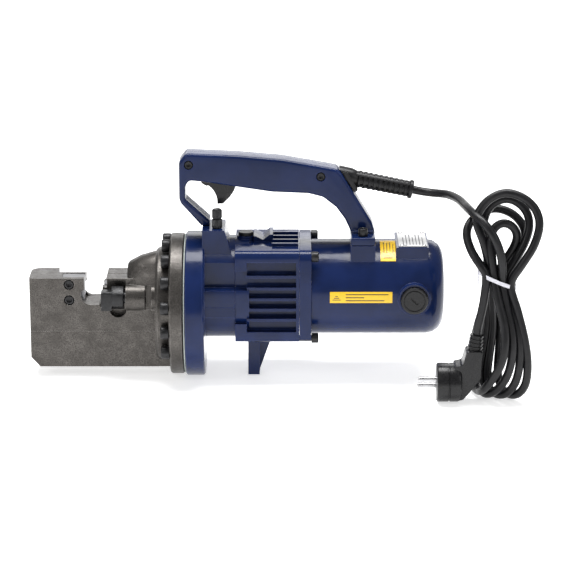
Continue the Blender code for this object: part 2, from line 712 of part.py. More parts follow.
def drive_train():
    drive = solid("drive_gear", extruded_x(gear_outline(DRIVE_TEETH, (0, DRIVE_Z), pi / DRIVE_TEETH),
                                           46, 56), STEEL)
    cut(drive, rod((40, 0, DRIVE_Z), (60, 0, DRIVE_Z), 6.3))
    shaft = add_turned("eccentric_shaft", (0, 0, DRIVE_Z), (1, 0, 0),
                       [(0, 66), (6.0, 66), (6.0, -24), (0, -24)], 20, STEEL)
    top = DRIVE_Z + ECCENTRICITY
    join(shaft, rod((-22, 0, top), (-10, 0, top), 9.0, steps=28))
    carry(pivot("eccentric_axis", (0, 0, DRIVE_Z)), drive, shaft)
    armature = add_turned("armature", (0, 0, MOTOR_Z), (1, 0, 0),
                          [(0, 198), (5, 198), (5, 142), (9, 142), (9, 140), (24, 140), (24, 95), (9, 95),
                           (9, 93), (5, 93), (5, 42), (0, 42)], 20, STEEL)
    pinion = extruded_x(gear_outline(PINION_TEETH, (0, MOTOR_Z), pi / 2), 45, 57)
    join(armature, pinion)
    commutator = add_turned("commutator", (0, 0, MOTOR_Z), (1, 0, 0),
                            [(14, 186), (14, 165), (5.4, 165), (5.4, 186)], 20, COPPER, ring=True)
    blades_outline = []
    for i in range(9):
        for share, radius in ((0.0, 13), (0.03, 38), (0.16, 38), (0.3, 13)):
            a = 2 * pi * (i + share) / 9
            blades_outline.append((radius * cos(a), MOTOR_Z + radius * sin(a)))
    cooling = solid("cooling_fan", extruded_x(blades_outline, 79, 90), PLASTIC)
    cut(cooling, rod((70, 0, MOTOR_Z), (100, 0, MOTOR_Z), 5.3, steps=20))
    carry(pivot("motor_axis", (0, 0, MOTOR_Z)), armature, commutator, cooling)
    for name, low, high, outer in (("front_bearing", 64.6, 73.9, 13.0), ("rear_bearing", 190.0, 198.0, 11.0)):
        add_turned(name, (0, 0, MOTOR_Z), (1, 0, 0),
                   [(outer, high), (outer, low), (5.4, low), (5.4, high)], 20, STEEL, ring=True)
    add_turned("stator", (0, 0, MOTOR_Z), (1, 0, 0), [(43.3, 140), (43.3, 96), (25.0, 96), (25.0, 140)],
               32, TOOL_STEEL, ring=True)


# --- motor housing -------------------------------------------------------------------------------


def motor_housing():
    inner = MOTOR_R - MOTOR_WALL
    round_r = 17.0
    corner = [(MOTOR_R - round_r + x, RIGHT - round_r + y) for x, y in fan((0, 0), round_r, 90, 0, 4)]
    profile = [(0, RIGHT), *corner, (MOTOR_R, MOTOR_LEFT), (inner, MOTOR_LEFT), (inner, 184.0),
               (inner - 9, 199.5), (14.5, 199.5), (14.5, 188.5), (11.3, 188.5), (11.3, 199.5), (0, 199.5)]
    shell = add_turned("motor_housing", (0, 0, MOTOR_Z), (1, 0, 0), profile, 40, NAVY)
    keep_out = rod((70, 0, MOTOR_Z), (184, 0, MOTOR_Z), inner - 0.4, steps=32)
    lug = box((HANDLE_FOOT_X[0], -HANDLE_FOOT_HALF, MOTOR_Z + 10),
              (HANDLE_FOOT_X[1], HANDLE_FOOT_HALF, LUG_TOP))
    pad = box((158, -30, MOTOR_Z + 10), (190, 30, 136.0))
    join(shell, lug, pad)
    for side in (-1, 1):
        join(shell, rod((BRUSH_X, side * 38, BRUSH_Z), (BRUSH_X, side * 50.5, BRUSH_Z), 17, steps=24,
                        end_radius=16))
    taper = rod((183.5, 0, MOTOR_Z), (191, 0, MOTOR_Z), inner - 0.5, steps=32, end_radius=inner - 4.6)
    cut(shell, keep_out, taper)
    for side in (-1, 1):
        cut(shell, rod((BRUSH_X, side * 35, BRUSH_Z), (BRUSH_X, side * 56, BRUSH_Z), 9.5, steps=16),
            rod((BRUSH_X, side * 47, BRUSH_Z), (BRUSH_X, side * 56, BRUSH_Z), 13.9, steps=20))
    middle = sum(HANDLE_FOOT_X) / 2
    cut(shell, rod((middle, -24, 132), (middle, -24, 150), 3.3, steps=16),
        rod((middle, 24, 132), (middle, 24, 150), 3.3, steps=16))
    slots = []
    for z in (-12, -6, 6, 12):
        slots.append(((196, 18, MOTOR_Z + z - 1.3), (210, 27, MOTOR_Z + z + 1.3)))
        slots.append(((196, -27, MOTOR_Z + z - 1.3), (210, -18, MOTOR_Z + z + 1.3)))
    cut(shell, boxes(slots))
    return shell


def brushes():
    for label, side in (("near", -1), ("far", 1)):
        profile = [(0, 54), (9.9, 54), (9.9, 52.6), (10.7, 52.6), (10.7, 54), (12.6, 54), (13.4, 53.2),
                   (13.4, 47.3), (9.0, 47.3), (9.0, 39), (0, 39)]
        cap = add_turned(f"brush_cap_{label}", (BRUSH_X, 0, BRUSH_Z), (0, side, 0), profile, 20, PLASTIC)
        near, far = sorted((side * 52.5, side * 56))
        slot = box((BRUSH_X - 4.5, near, BRUSH_Z - 1.1), (BRUSH_X + 4.5, far, BRUSH_Z + 1.1),
                   turn=Matrix.Rotation(radians(45), 3, "Y"), about=(BRUSH_X, 0, BRUSH_Z))
        cut(cap, slot)
        near, far = sorted((side * 14.6, side * 38.7))
        solid(f"carbon_brush_{label}", box((BRUSH_X - 5, near, BRUSH_Z - 3), (BRUSH_X + 5, far, BRUSH_Z + 4)),
              PLASTIC)


# --- handle --------------------------------------------------------------------------------------


def handle_outline():
    foot_left, foot_right = HANDLE_FOOT_X
    foot_low = HANDLE_FOOT_Z[0]
    return rounded([
        (-34.5, 153.9, 0), (-54.5, 176.4, 3), (-56.0, 181.0, 3), (-56.0, 218.0, 4), (-48.9, 226.7, 5),
        (1.8, 224.4, 0), (45.4, 220.6, 0), (89.0, 212.9, 0), (99.5, 210.8, 4), (105.0, 205.0, 3),
        (134.4, 156.7, 8), (foot_right, 147.0, 0), (foot_right, foot_low, 0), (foot_left, foot_low, 0),
        (foot_left, 148.0, 4), (107.6, 160.3, 8), (99.0, 172.3, 8), (85.8, 182.7, 8), (71.4, 186.4, 8),
        (35.4, 187.9, 0), (0.7, 193.1, 0), (-35.3, 198.4, 0), (-46.5, 199.3, 4), (-49.8, 193.0, 3),
        (-49.8, 180.6, 3), (-26.0, 159.0, 0), (-26.0, 153.9, 0)])


def boot_axis(distance):
    """A point on the strain relief's axis, measured back from its free end."""
    return BOOT_END - Vector((cos(BOOT_TILT), 0, -sin(BOOT_TILT))) * distance


def handle_half(name, side):
    near, far = sorted((side * 0.15, side * HANDLE_HALF))
    half = solid(name, extruded_y(handle_outline(), near, far), NAVY)
    low, high = sorted((side * (HANDLE_HALF - 1), side * HANDLE_FOOT_HALF))
    foot = box((HANDLE_FOOT_X[0], low, HANDLE_FOOT_Z[0]), (HANDLE_FOOT_X[1], high, HANDLE_FOOT_Z[1]))
    join(half, foot)
    middle = sum(HANDLE_FOOT_X) / 2
    cut(half, rod((middle, side * 24, 130), (middle, side * 24, 150), 3.3, steps=16))
    cut(half, box((-38, -6, 180), (3.5, 6, 213)), box((8.0, -9, 196.5), (44.5, 9, 214.0)),
        box((3.4, -4, 200), (8.1, 4, 210)))
    cut(half, rod((TRIGGER_PIVOT[0], -9.6, TRIGGER_PIVOT[1]), (TRIGGER_PIVOT[0], 9.6, TRIGGER_PIVOT[1]),
                  1.9, steps=12))
    cut(half, rod(boot_axis(80), boot_axis(55), 5.4, steps=20))
    for x, z in SCREWS_XZ:
        cut(half, rod((x, -20, z), (x, -9.2, z), 4.5, steps=20), rod((x, -11, z), (x, 10, z), 2.4, steps=10))
    return half


def handle():
    handle_half("handle_near_half", -1)
    handle_half("handle_far_half", 1)
    for label, (x, z) in zip(("front", "rear"), SCREWS_XZ):
        cap_screw(f"handle_screw_{label}", (x, -9.5, z), (0, -1, 0), 4.1, 3.6, 2.0, 18.5)
    middle = sum(HANDLE_FOOT_X) / 2
    for label, y in (("near", -24), ("far", 24)):
        cap_screw(f"handle_bolt_{label}", (middle, y, HANDLE_FOOT_Z[1] + GAP), (0, 0, 1), 4.8, 7.5, 3.0, 13.0)
    solid("switch", box((8.3, -8.7, 196.8), (44.2, 8.7, 213.7)), PLASTIC)


def trigger():
    outline = [(-34.4, 206), (-34.4, 194.5), *fan((-39, 176), 20.5, 62, -8, 5)[1:-1], (-17.8, 171.7),
               (-13.0, 174.0), (-6.0, 181.5), (-2.0, 187.5), (0.6, 194.5), (0.6, 206)]
    item = solid("trigger", extruded_y(outline, -5, 5), PLASTIC)
    bevel(item, 0.8, segments=1, angle=50)
    x, z = TRIGGER_PIVOT
    join(item, rod((x, -9, z), (x, 9, z), 1.5, steps=12))
    carry(pivot("trigger_axis", (x, 0, z)), item)


# --- cord ----------------------------------------------------------------------------------------

LEAD = ((175.0, 0, 187.44), (185.0, 0, 185.4), (196.0, -5, 185.2), (208.0, -18, 187.0),
        (217.0, -38, 187.5), (222.0, -57, 186.5), (225.0, -71, 186.0))
# each ring of the tied loops: centre, then half its width and half its depth
HANK = (((254, -92, 0.0), 12, 16), ((259, -92, 6.0), 18, 21), ((262.5, -92, 40), 21, 22),
        ((261.5, -92, 70), 20, 21), ((254.5, -92, 77), 25, 20), ((253, -92, 104), 17, 14),
        ((252.5, -92, 112), 15.5, 13), ((252.5, -92, 126), 15.5, 13), ((252, -91, 138), 18, 12.5),
        ((256, -90, 165), 34, 12.5), ((258, -89, 185), 29, 12.5), ((259, -88, 201), 15, 8))
TIE_Z = (117.0, 121.0)


def strain_relief():
    """The ribbed boot, with a slanted flange on the handle's rear face and a neck inside it."""
    profile = [(0, 0), (8.6, 0), (9.3, -0.8), (9.3, -3.6), (7.4, -4.2)]
    ribs, pitch = 10, 5.2
    for i in range(ribs):
        start = -5.4 - pitch * i
        wide = 8.1 + 0.05 * i
        profile += [(wide, start), (wide, start - 2.8), (wide - 1.0, start - 3.4)]
    profile += [(7.6, -76), (0, -76)]
    direction = (cos(BOOT_TILT), 0, -sin(BOOT_TILT))
    boot = add_turned("strain_relief", BOOT_END, direction, profile, 14, RUBBER)
    top, bottom = Vector((104.4, 206.0)), Vector((116.4, 186.3))
    down = (bottom - top).normalized()
    out = Vector((-down.y, down.x))
    flange = [top + out * 0.2, top + out * 6.5, bottom + out * 6.5, bottom + out * 0.2]
    join(boot, extruded_y([tuple(corner) for corner in flange], -9.5, 9.5))
    inside = [top - down * 30 + out * 0.5, bottom + down * 30 + out * 0.5,
              bottom + down * 30 - out * 60, top - down * 30 - out * 60]
    cut(boot, extruded_y([tuple(corner) for corner in inside], -20, 20))
    join(boot, rod(boot_axis(79), boot_axis(58), 5.0, steps=20))


def cord():
    wire("cord_lead", smooth_route(LEAD, 16), CORD_R, RUBBER)
    solid("cord_hank", loft([oval(centre, half_x, half_y) for centre, half_x, half_y in HANK]), RUBBER)


def cable_tie():
    middle = (252.5, -92, 0)
    outer = [point[:2] for point in oval(middle, 17.4, 14.9, count=24)]
    inner = [point[:2] for point in oval(middle, 15.9, 13.4, count=24)]
    band = solid("cable_tie", extruded_z(outer, *TIE_Z), PAPER)
    cut(band, extruded_z(inner, TIE_Z[0] - 2, TIE_Z[1] + 2))


def plug():
    """An angled two-pin mains plug: round base, flat-sided grip and a short strain relief."""
    y, z = PLUG_Y, PLUG_Z
    profile = [(0, 219.5), (15.5, 219.5), (17.5, 218.0), (PLUG_R, 214.0), (PLUG_R, 196.5), (18.0, 195.2),
               (0, 195.2)]
    body = add_turned("plug", (0, y, z), (1, 0, 0), profile, 24, PLASTIC)
    outline = [(212, 38), (219.8, 40), (223.6, 54), (239.8, 54), (238.4, 45), (237.8, 26.5), (227.6, 12.8),
               (220.4, 4), (212, 4)]
    grip = bpy.data.objects.new("grip", extruded_y(outline, y - PLUG_GRIP_HALF, y + PLUG_GRIP_HALF))
    bevel(grip, 2.0)
    relief = rod((231.7, y, 52), (234.0, y, 69.5), 7.8, steps=20, end_radius=6.0)
    join(body, grip, relief)
    for side in (-1, 1):
        pin_y, pin_z = y - side * 7.7, z + side * 5.5
        join(body, rod((177.5, pin_y, pin_z), (200, pin_y, pin_z), 2.4, steps=16))


cutter_head()
blades()
ram()
stopper()
head_bolts()
gasket()
pump_case()
pump_plunger()
release_valve()
oil_plug()
gear_housing()
motor_cover()
drive_train()
motor_housing()
brushes()
handle()
trigger()
strain_relief()
cord()
cable_tie()
plug()
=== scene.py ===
"""Looks of the portable rebar cutter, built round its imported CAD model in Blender 4.5.

Places are millimetres in the row frame, X from the cutting head to the motor and Z up, and mm() turns
them into metres. Sound CAD nodes keep their shape and get a finish; the handle, screws, knob, cord and
what is on the cord are modelled again here in detail.
"""

import json
from math import cos, pi, radians, sin, tan

import bmesh
import bpy
from mathutils import Matrix, Vector


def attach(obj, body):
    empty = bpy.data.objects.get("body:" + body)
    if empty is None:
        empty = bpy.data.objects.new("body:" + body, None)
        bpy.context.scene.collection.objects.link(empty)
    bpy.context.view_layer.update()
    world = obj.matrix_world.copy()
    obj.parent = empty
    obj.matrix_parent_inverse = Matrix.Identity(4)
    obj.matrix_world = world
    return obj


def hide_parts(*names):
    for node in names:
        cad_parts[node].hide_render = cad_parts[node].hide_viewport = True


MM = 0.001
MERGE = 0.00001
SMOOTHING_PASSES = 3

# camera
ELEVATION = radians(16)
DISTANCE = 2600
TARGET = Vector((51.35, 0, 86.2))
LENS = 162.5

# handle
HANDLE_HALF = 13.0
HANDLE_FOOT_X = (113.2, 137.2)
HANDLE_FOOT_Z = (138.6, 146.4)
HANDLE_FOOT_HALF = 33.0
HANDLE_SCREWS = {"handle_screw_front": (-46.4, 215.3), "handle_screw_rear": (83.7, 203.5)}
HANDLE_BOLT_Y = {"handle_bolt_near": -24.0, "handle_bolt_far": 24.0}
TRIGGER_PIVOT = (-3.0, 199.0)

# screws
FLANGE_Z = 70.8
HEAD_BOLT_SEAT = -65.7
BOLT_CIRCLE_R = 63.5
BOLT_COUNT = 12
BOLT_STEP = 22.5               # degrees; the bottom of the circle has none
MOTOR_Z = 88.5
MOTOR_R = 47.3
MOTOR_BOLT_SEAT = 74.5
MOTOR_BOLT_Y = 42.0
MOTOR_BOLT_Z = 41.5
BLADE_SCREW_Z = {"fixed_blade_screw_lower": 79.2, "fixed_blade_screw_upper": 95.3}
VALVE = (-18.5, -20.5)

# cord
CORD_D = 8.3
BOOT_END = Vector((174.7, 0, 187.5))
BOOT_TILT = radians(11.5)
PLUG_Y = -98.0
PLUG_Z = 19.3
PLUG_R = 19.0
PLUG_GRIP_HALF = 11.5
TIE_CENTRE = Vector((252.5, -92.0, 122.0))
TIE_SLOPE = -0.42
TIE_HALF_WIDTH = 18.0
TIE_HALF_DEPTH = 13.6

bpy.context.scene.view_settings.view_transform = "Standard"
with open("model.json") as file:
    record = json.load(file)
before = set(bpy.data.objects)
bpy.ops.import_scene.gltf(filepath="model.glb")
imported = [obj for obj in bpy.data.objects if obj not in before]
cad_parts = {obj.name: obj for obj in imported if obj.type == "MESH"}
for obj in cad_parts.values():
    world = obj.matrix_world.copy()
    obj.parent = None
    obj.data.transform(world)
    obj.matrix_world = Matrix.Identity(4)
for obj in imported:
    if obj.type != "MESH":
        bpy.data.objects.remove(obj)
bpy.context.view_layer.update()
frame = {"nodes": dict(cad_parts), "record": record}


def mm(*place):
    return Vector(place) * MM


# --- materials -----------------------------------------------------------------------------------


class Finish:
    """A Principled material whose colour, roughness and bump come from small noise networks."""

    def __init__(self, name, colour, roughness, metallic=0.0, **sockets):
        self.material = bpy.data.materials.new(name)
        self.material.use_nodes = True
        self.nodes = self.material.node_tree.nodes
        self.links = self.material.node_tree.links
        self.shader = self.nodes["Principled BSDF"]
        self.shader.inputs["Base Color"].default_value = (*colour, 1)
        self.shader.inputs["Roughness"].default_value = roughness
        self.shader.inputs["Metallic"].default_value = metallic
        for socket, value in sockets.items():
            self.shader.inputs[socket.replace("_", " ")].default_value = value
        self.where = self.nodes.new("ShaderNodeTexCoord").outputs["Object"]
        self.normal = None

    def stretched(self, factors):
        """Object coordinates scaled unevenly, for brushed and drawn surfaces."""
        mapping = self.nodes.new("ShaderNodeMapping")
        mapping.inputs["Scale"].default_value = factors
        self.links.new(self.where, mapping.inputs["Vector"])
        return mapping.outputs["Vector"]

    def noise(self, size, detail=3.0, where=None):
        """Noise whose features are about size millimetres across."""
        node = self.nodes.new("ShaderNodeTexNoise")
        node.inputs["Scale"].default_value = 1 / (size * MM)
        node.inputs["Detail"].default_value = detail
        self.links.new(where or self.where, node.inputs["Vector"])
        return node.outputs["Fac"]

    def remap(self, value, low, high, new_low, new_high):
        node = self.nodes.new("ShaderNodeMapRange")
        self.links.new(value, node.inputs["Value"])
        values = (("From Min", low), ("From Max", high), ("To Min", new_low), ("To Max", new_high))
        for socket, number in values:
            node.inputs[socket].default_value = number
        return node.outputs["Result"]

    def blend(self, share, first, second):
        """A colour between two, each a colour or an output."""
        node = self.nodes.new("ShaderNodeMix")
        node.data_type = "RGBA"
        self.links.new(share, node.inputs["Factor"])
        for socket, value in (("A", first), ("B", second)):
            target = next(s for s in node.inputs if s.name == socket and s.type == "RGBA")
            if isinstance(value, tuple):
                target.default_value = (*value, 1)
            else:
                self.links.new(value, target)
        return next(s for s in node.outputs if s.type == "RGBA")

    def bump(self, height, depth, strength=1.0):
        """Adds relief, depth millimetres deep, on top of what is there already."""
        node = self.nodes.new("ShaderNodeBump")
        node.inputs["Distance"].default_value = depth * MM
        node.inputs["Strength"].default_value = strength
        self.links.new(height, node.inputs["Height"])
        if self.normal is not None:
            self.links.new(self.normal, node.inputs["Normal"])
        self.normal = node.outputs["Normal"]
        self.links.new(self.normal, self.shader.inputs["Normal"])

    def soften(self, radius):
        """Rounds the edges in the shading by radius millimetres."""
        node = self.nodes.new("ShaderNodeBevel")
        node.samples = 4
        node.inputs["Radius"].default_value = radius * MM
        self.normal = node.outputs["Normal"]
        self.links.new(self.normal, self.shader.inputs["Normal"])

    def edges(self, radius):
        """1 along convex and concave edges and 0 on flat ground."""
        rounded_normal = self.nodes.new("ShaderNodeBevel")
        rounded_normal.samples = 4
        rounded_normal.inputs["Radius"].default_value = radius * MM
        plain = self.nodes.new("ShaderNodeNewGeometry")
        dot = self.nodes.new("ShaderNodeVectorMath")
        dot.operation = "DOT_PRODUCT"
        self.links.new(rounded_normal.outputs["Normal"], dot.inputs[0])
        self.links.new(plain.outputs["Normal"], dot.inputs[1])
        return self.remap(dot.outputs["Value"], 0.97, 0.80, 0.0, 1.0)

    def colour(self, output):
        self.links.new(output, self.shader.inputs["Base Color"])

    def rough(self, output):
        self.links.new(output, self.shader.inputs["Roughness"])


def cast_steel():
    """Sand-cast steel under a thin clear coat: grey-brown, finely pitted, brighter on its edges."""
    finish = Finish("cast_steel", (0.14, 0.13, 0.12), 0.4, 0.8)
    finish.soften(0.9)
    mottle = finish.remap(finish.noise(11, 4), 0.3, 0.7, 0, 1)
    ground = finish.blend(mottle, (0.076, 0.070, 0.064), (0.128, 0.119, 0.110))
    grain = finish.remap(finish.noise(0.9, 3), 0.34, 0.60, 0, 1)
    ground = finish.blend(grain, (0.050, 0.046, 0.043), ground)
    finish.colour(finish.blend(finish.edges(0.8), ground, (0.36, 0.345, 0.33)))
    finish.rough(finish.remap(finish.noise(4, 3), 0.3, 0.7, 0.30, 0.44))
    finish.bump(finish.noise(6, 3), 0.55, 0.45)
    finish.bump(finish.noise(1.2, 3), 0.16, 0.6)
    return finish.material


def navy_enamel(name="navy_enamel", cast=0.32, peel=0.05):
    """Glossy navy enamel over a casting, with the casting's unevenness showing through and a painted
    highlight of lighter blue along its edges.
    """
    finish = Finish(name, (0.005, 0.014, 0.066), 0.2, 0.0, IOR=1.28, Coat_Weight=0.15, Coat_Roughness=0.05)
    finish.soften(1.0)
    cloud = finish.remap(finish.noise(30, 3), 0.35, 0.65, 0, 1)
    ground = finish.blend(cloud, (0.0038, 0.0120, 0.056), (0.0062, 0.0165, 0.076))
    # painted highlight: the colour turns a lighter blue along convex and concave edges
    finish.colour(finish.blend(finish.edges(0.9), ground, (0.040, 0.062, 0.205)))
    finish.rough(finish.remap(finish.noise(9, 3), 0.3, 0.7, 0.16, 0.27))
    finish.bump(finish.noise(11, 2), cast, 0.35)
    finish.bump(finish.noise(2.2, 3), peel, 0.8)
    return finish.material


def ground_steel(name, colour, roughness, along):
    """Ground or turned steel with fine tool marks running along one axis."""
    finish = Finish(name, colour, roughness, 1.0, Anisotropic=0.4)
    finish.soften(0.4)
    marks = finish.noise(0.5, 4, finish.stretched(along))
    finish.rough(finish.remap(marks, 0.3, 0.7, roughness - 0.08, roughness + 0.12))
    darker = tuple(c * 0.72 for c in colour)
    finish.colour(finish.blend(finish.remap(finish.noise(9, 3), 0.3, 0.7, 0, 1), darker, colour))
    finish.bump(marks, 0.02, 0.7)
    return finish.material


def black_steel():
    """Black-oxide steel: satin, a little worn to grey along its edges."""
    finish = Finish("black_steel", (0.014, 0.014, 0.015), 0.34, 0.35)
    finish.soften(0.35)
    ground = finish.blend(finish.remap(finish.noise(3, 3), 0.3, 0.7, 0, 1), (0.008, 0.008, 0.009),
                          (0.020, 0.020, 0.022))
    finish.colour(finish.blend(finish.edges(0.4), ground, (0.085, 0.085, 0.09)))
    finish.rough(finish.remap(finish.noise(1.2, 3), 0.3, 0.7, 0.28, 0.48))
    finish.bump(finish.noise(0.6, 2), 0.02, 0.6)
    return finish.material


def copper():
    finish = Finish("copper", (0.60, 0.26, 0.13), 0.3, 1.0)
    tarnish = finish.remap(finish.noise(4, 4), 0.4, 0.7, 0, 1)
    finish.colour(finish.blend(tarnish, (0.62, 0.27, 0.14), (0.30, 0.14, 0.08)))
    finish.bump(finish.noise(0.4, 2, finish.stretched((0.1, 1, 1))), 0.02, 0.6)
    return finish.material


def rubber(name="black_rubber", colour=(0.006, 0.006, 0.007), low=0.30, high=0.44):
    """Moulded rubber: near black, faint bloom, slightly uneven."""
    finish = Finish(name, colour, 0.42, 0.0, Specular_IOR_Level=0.3)
    bloom = finish.remap(finish.noise(16, 4), 0.42, 0.75, 0, 1)
    dusty = tuple(c * 1.9 for c in colour)
    finish.colour(finish.blend(bloom, colour, dusty))
    finish.rough(finish.remap(finish.noise(5, 4), 0.3, 0.7, low, high))
    finish.bump(finish.noise(3.5, 3), 0.05, 0.5)
    finish.bump(finish.noise(0.35, 2), 0.012, 0.6)
    return finish.material


def plastic(name, colour, roughness, grain=0.5, depth=0.02):
    """Moulded plastic with a spark-eroded grain."""
    finish = Finish(name, colour, roughness, 0.0, Specular_IOR_Level=0.35)
    finish.soften(0.3)
    lighter = tuple(min(1.0, c * 1.25) for c in colour)
    finish.colour(finish.blend(finish.remap(finish.noise(8, 3), 0.35, 0.7, 0, 1), colour, lighter))
    finish.rough(finish.remap(finish.noise(2, 3), 0.3, 0.7, roughness - 0.06, roughness + 0.08))
    finish.bump(finish.noise(grain, 2), depth, 0.7)
    return finish.material


def tie_nylon():
    finish = Finish("white_nylon", (0.72, 0.72, 0.78), 0.32, 0.0, Subsurface_Weight=0.15)
    finish.shader.inputs["Subsurface Radius"].default_value = (0.002, 0.002, 0.002)
    finish.rough(finish.remap(finish.noise(1.5, 2), 0.3, 0.7, 0.26, 0.42))
    finish.bump(finish.noise(0.8, 2), 0.015, 0.6)
    return finish.material


def film(name, colour, roughness):
    """Printed label film with a faint unevenness in its ink."""
    finish = Finish(name, colour, roughness, 0.0, Coat_Weight=0.3, Coat_Roughness=0.12)
    darker = tuple(c * 0.9 for c in colour)
    finish.colour(finish.blend(finish.remap(finish.noise(3, 4), 0.3, 0.7, 0, 1), darker, colour))
    finish.bump(finish.noise(6, 2), 0.03, 0.4)
    return finish.material


def gasket_fibre():
    finish = Finish("gasket_fibre", (0.45, 0.50, 0.47), 0.8)
    finish.colour(finish.blend(finish.noise(0.8, 4), (0.30, 0.35, 0.33), (0.62, 0.66, 0.62)))
    finish.bump(finish.noise(0.5, 3), 0.06, 0.8)
    return finish.material


FINISHES = {
    "cast_steel": cast_steel(),
    "navy_enamel": navy_enamel(),
    "bright_steel": ground_steel("bright_steel", (0.56, 0.56, 0.57), 0.26, (1, 0.06, 0.06)),
    "tool_steel": ground_steel("tool_steel", (0.24, 0.24, 0.25), 0.34, (0.06, 1, 1)),
    "black_steel": black_steel(),
    "copper": copper(),
    "black_rubber": rubber(),
    "black_plastic": plastic("black_plastic", (0.006, 0.006, 0.007), 0.30),
    "white_plastic": tie_nylon(),
    "gasket_fibre": gasket_fibre(),
    "yellow_label": film("yellow_label", (1.0, 0.62, 0.008), 0.35),
    "white_label": film("white_label", (0.50, 0.50, 0.50), 0.42),
}
HANDLE_ENAMEL = navy_enamel("navy_handle", cast=0.10, peel=0.02)
INK = plastic("label_ink", (0.03, 0.03, 0.035), 0.45)


# --- mesh helpers --------------------------------------------------------------------------------


def finished_mesh(name, work, sharp=35):
    """A mesh from a bmesh, shaded smooth except along its sharp edges."""
    bmesh.ops.recalc_face_normals(work, faces=work.faces)
    mesh = bpy.data.meshes.new(name)
    work.to_mesh(mesh)
    work.free()
    mesh.shade_smooth()
    mesh.set_sharp_from_angle(angle=radians(sharp))
    return mesh


def piece(name, data, slot, body="tool", replaces=(), finish=None):
    """A shown piece in its place: it rides on a body and may stand for CAD nodes."""
    item = bpy.data.objects.new(name, data)
    bpy.context.scene.collection.objects.link(item)
    data.materials.append(finish or FINISHES[slot])
    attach(item, body)
    if replaces:
        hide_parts(*replaces)
    return item


def loft(rings, closed=False, caps=True):
    """A bmesh skin through rings of equally many points, in millimetres."""
    work = bmesh.new()
    rows = [[work.verts.new(Vector(p) * MM) for p in ring] for ring in rings]
    pairs = list(zip(rows, rows[1:]))
    if closed:
        pairs.append((rows[-1], rows[0]))
    for lower, upper in pairs:
        for i, here in enumerate(lower):
            j = (i + 1) % len(lower)
            work.faces.new((here, lower[j], upper[j], upper[i]))
    if caps and not closed:
        work.faces.new(rows[0])
        work.faces.new(rows[-1])
    return work


def circle(radius, z, count, wobble=0.0):
    """A ring of points, alternately out and in by wobble for a knurl."""
    ring = []
    for i in range(count):
        r = radius + (wobble if i % 2 else -wobble)
        ring.append((r * cos(2 * pi * i / count), r * sin(2 * pi * i / count), z))
    return ring


def hexagon(flat, z, count):
    """A hexagon sampled at count points, flat millimetres across its flats."""
    ring = []
    for i in range(count):
        a = 2 * pi * i / count
        within = (a % (pi / 3)) - pi / 6
        r = flat / 2 / cos(within)
        ring.append((r * cos(a), r * sin(a), z))
    return ring


def turned(profile, steps=64):
    """A bmesh turned about Z from (radius, z) pairs."""
    return loft([circle(max(r, 0.01), z, steps) for r, z in profile])


def move(work, origin, along=(0, 0, 1)):
    """Turns a bmesh's Z axis to a direction and puts its origin somewhere."""
    turn = Vector((0, 0, 1)).rotation_difference(Vector(along)).to_matrix()
    bmesh.ops.rotate(work, verts=work.verts, matrix=turn)
    bmesh.ops.translate(work, verts=work.verts, vec=mm(*origin))
    return work


def fan(centre, radius, from_deg, to_deg, count):
    angles = (radians(from_deg + (to_deg - from_deg) * i / count) for i in range(count + 1))
    return [(centre[0] + radius * cos(a), centre[1] + radius * sin(a)) for a in angles]


def rounded(corners, count=10):
    """An outline from (x, z, r) corners, each rounded with radius r."""
    outline = []
    for i, (x, z, r) in enumerate(corners):
        here = Vector((x, z))
        if r == 0:
            outline.append((x, z))
            continue
        before = (Vector(corners[i - 1][:2]) - here).normalized()
        after = (Vector(corners[(i + 1) % len(corners)][:2]) - here).normalized()
        half = before.angle(after) / 2
        middle = here + (before + after).normalized() * (r / sin(half))
        first = here + before * (r / tan(half))
        last = here + after * (r / tan(half))
        turn = (first - middle).angle_signed(last - middle)
        for k in range(count + 1):
            spoke = (first - middle).copy()
            spoke.rotate(Matrix.Rotation(-turn * k / count, 2))
            outline.append(tuple(middle + spoke))
    return outline


def slab_y(outline, near, far, near_round=0.0, far_round=0.0):
    """An XZ outline between two Y planes, with its near and far rims rounded over."""
    work = loft([[(x, y, z) for x, z in outline] for y in (near, far)])
    for y, radius in ((near, near_round), (far, far_round)):
        if radius:
            rim = [e for e in work.edges if all(abs(v.co.y - y * MM) < MERGE for v in e.verts)]
            bmesh.ops.bevel(work, geom=rim, offset=radius * MM, segments=6, profile=0.5, affect="EDGES",
                            clamp_overlap=True)
    return work


def block(low, high, radius=0.0, segments=4):
    """A box between two corners with rounded edges."""
    low, high = mm(*low), mm(*high)
    work = bmesh.new()
    place = Matrix.Translation((low + high) / 2) @ Matrix.Diagonal((*(high - low), 1.0))
    bmesh.ops.create_cube(work, size=1.0, matrix=place)
    if radius:
        bmesh.ops.bevel(work, geom=list(work.edges), offset=radius * MM, segments=segments, profile=0.5,
                        affect="EDGES")
    return work


def operand(work):
    """A hidden boolean operand from a bmesh."""
    bmesh.ops.recalc_face_normals(work, faces=work.faces)
    mesh = bpy.data.meshes.new("operand")
    work.to_mesh(mesh)
    work.free()
    return mesh


def carve(work, operation, operands):
    """The bmesh after boolean steps with the operands, each a bmesh."""
    base = bpy.data.objects.new("base", operand(work))
    bpy.context.scene.collection.objects.link(base)
    helpers = []
    for other in operands:
        helper = bpy.data.objects.new("helper", operand(other))
        bpy.context.scene.collection.objects.link(helper)
        helpers.append(helper)
        step = base.modifiers.new(operation, "BOOLEAN")
        step.operation = operation
        step.solver = "EXACT"
        step.object = helper
    bpy.context.view_layer.update()
    ready = base.evaluated_get(bpy.context.evaluated_depsgraph_get())
    result = bmesh.new()
    result.from_mesh(ready.to_mesh())
    for item in (base, *helpers):
        bpy.data.objects.remove(item, do_unlink=True)
    return result


def merged(works):
    """Several bmeshes as one, left as separate shells."""
    whole = bmesh.new()
    for work in works:
        shell = operand(work)
        whole.from_mesh(shell)
        bpy.data.meshes.remove(shell)
    return whole


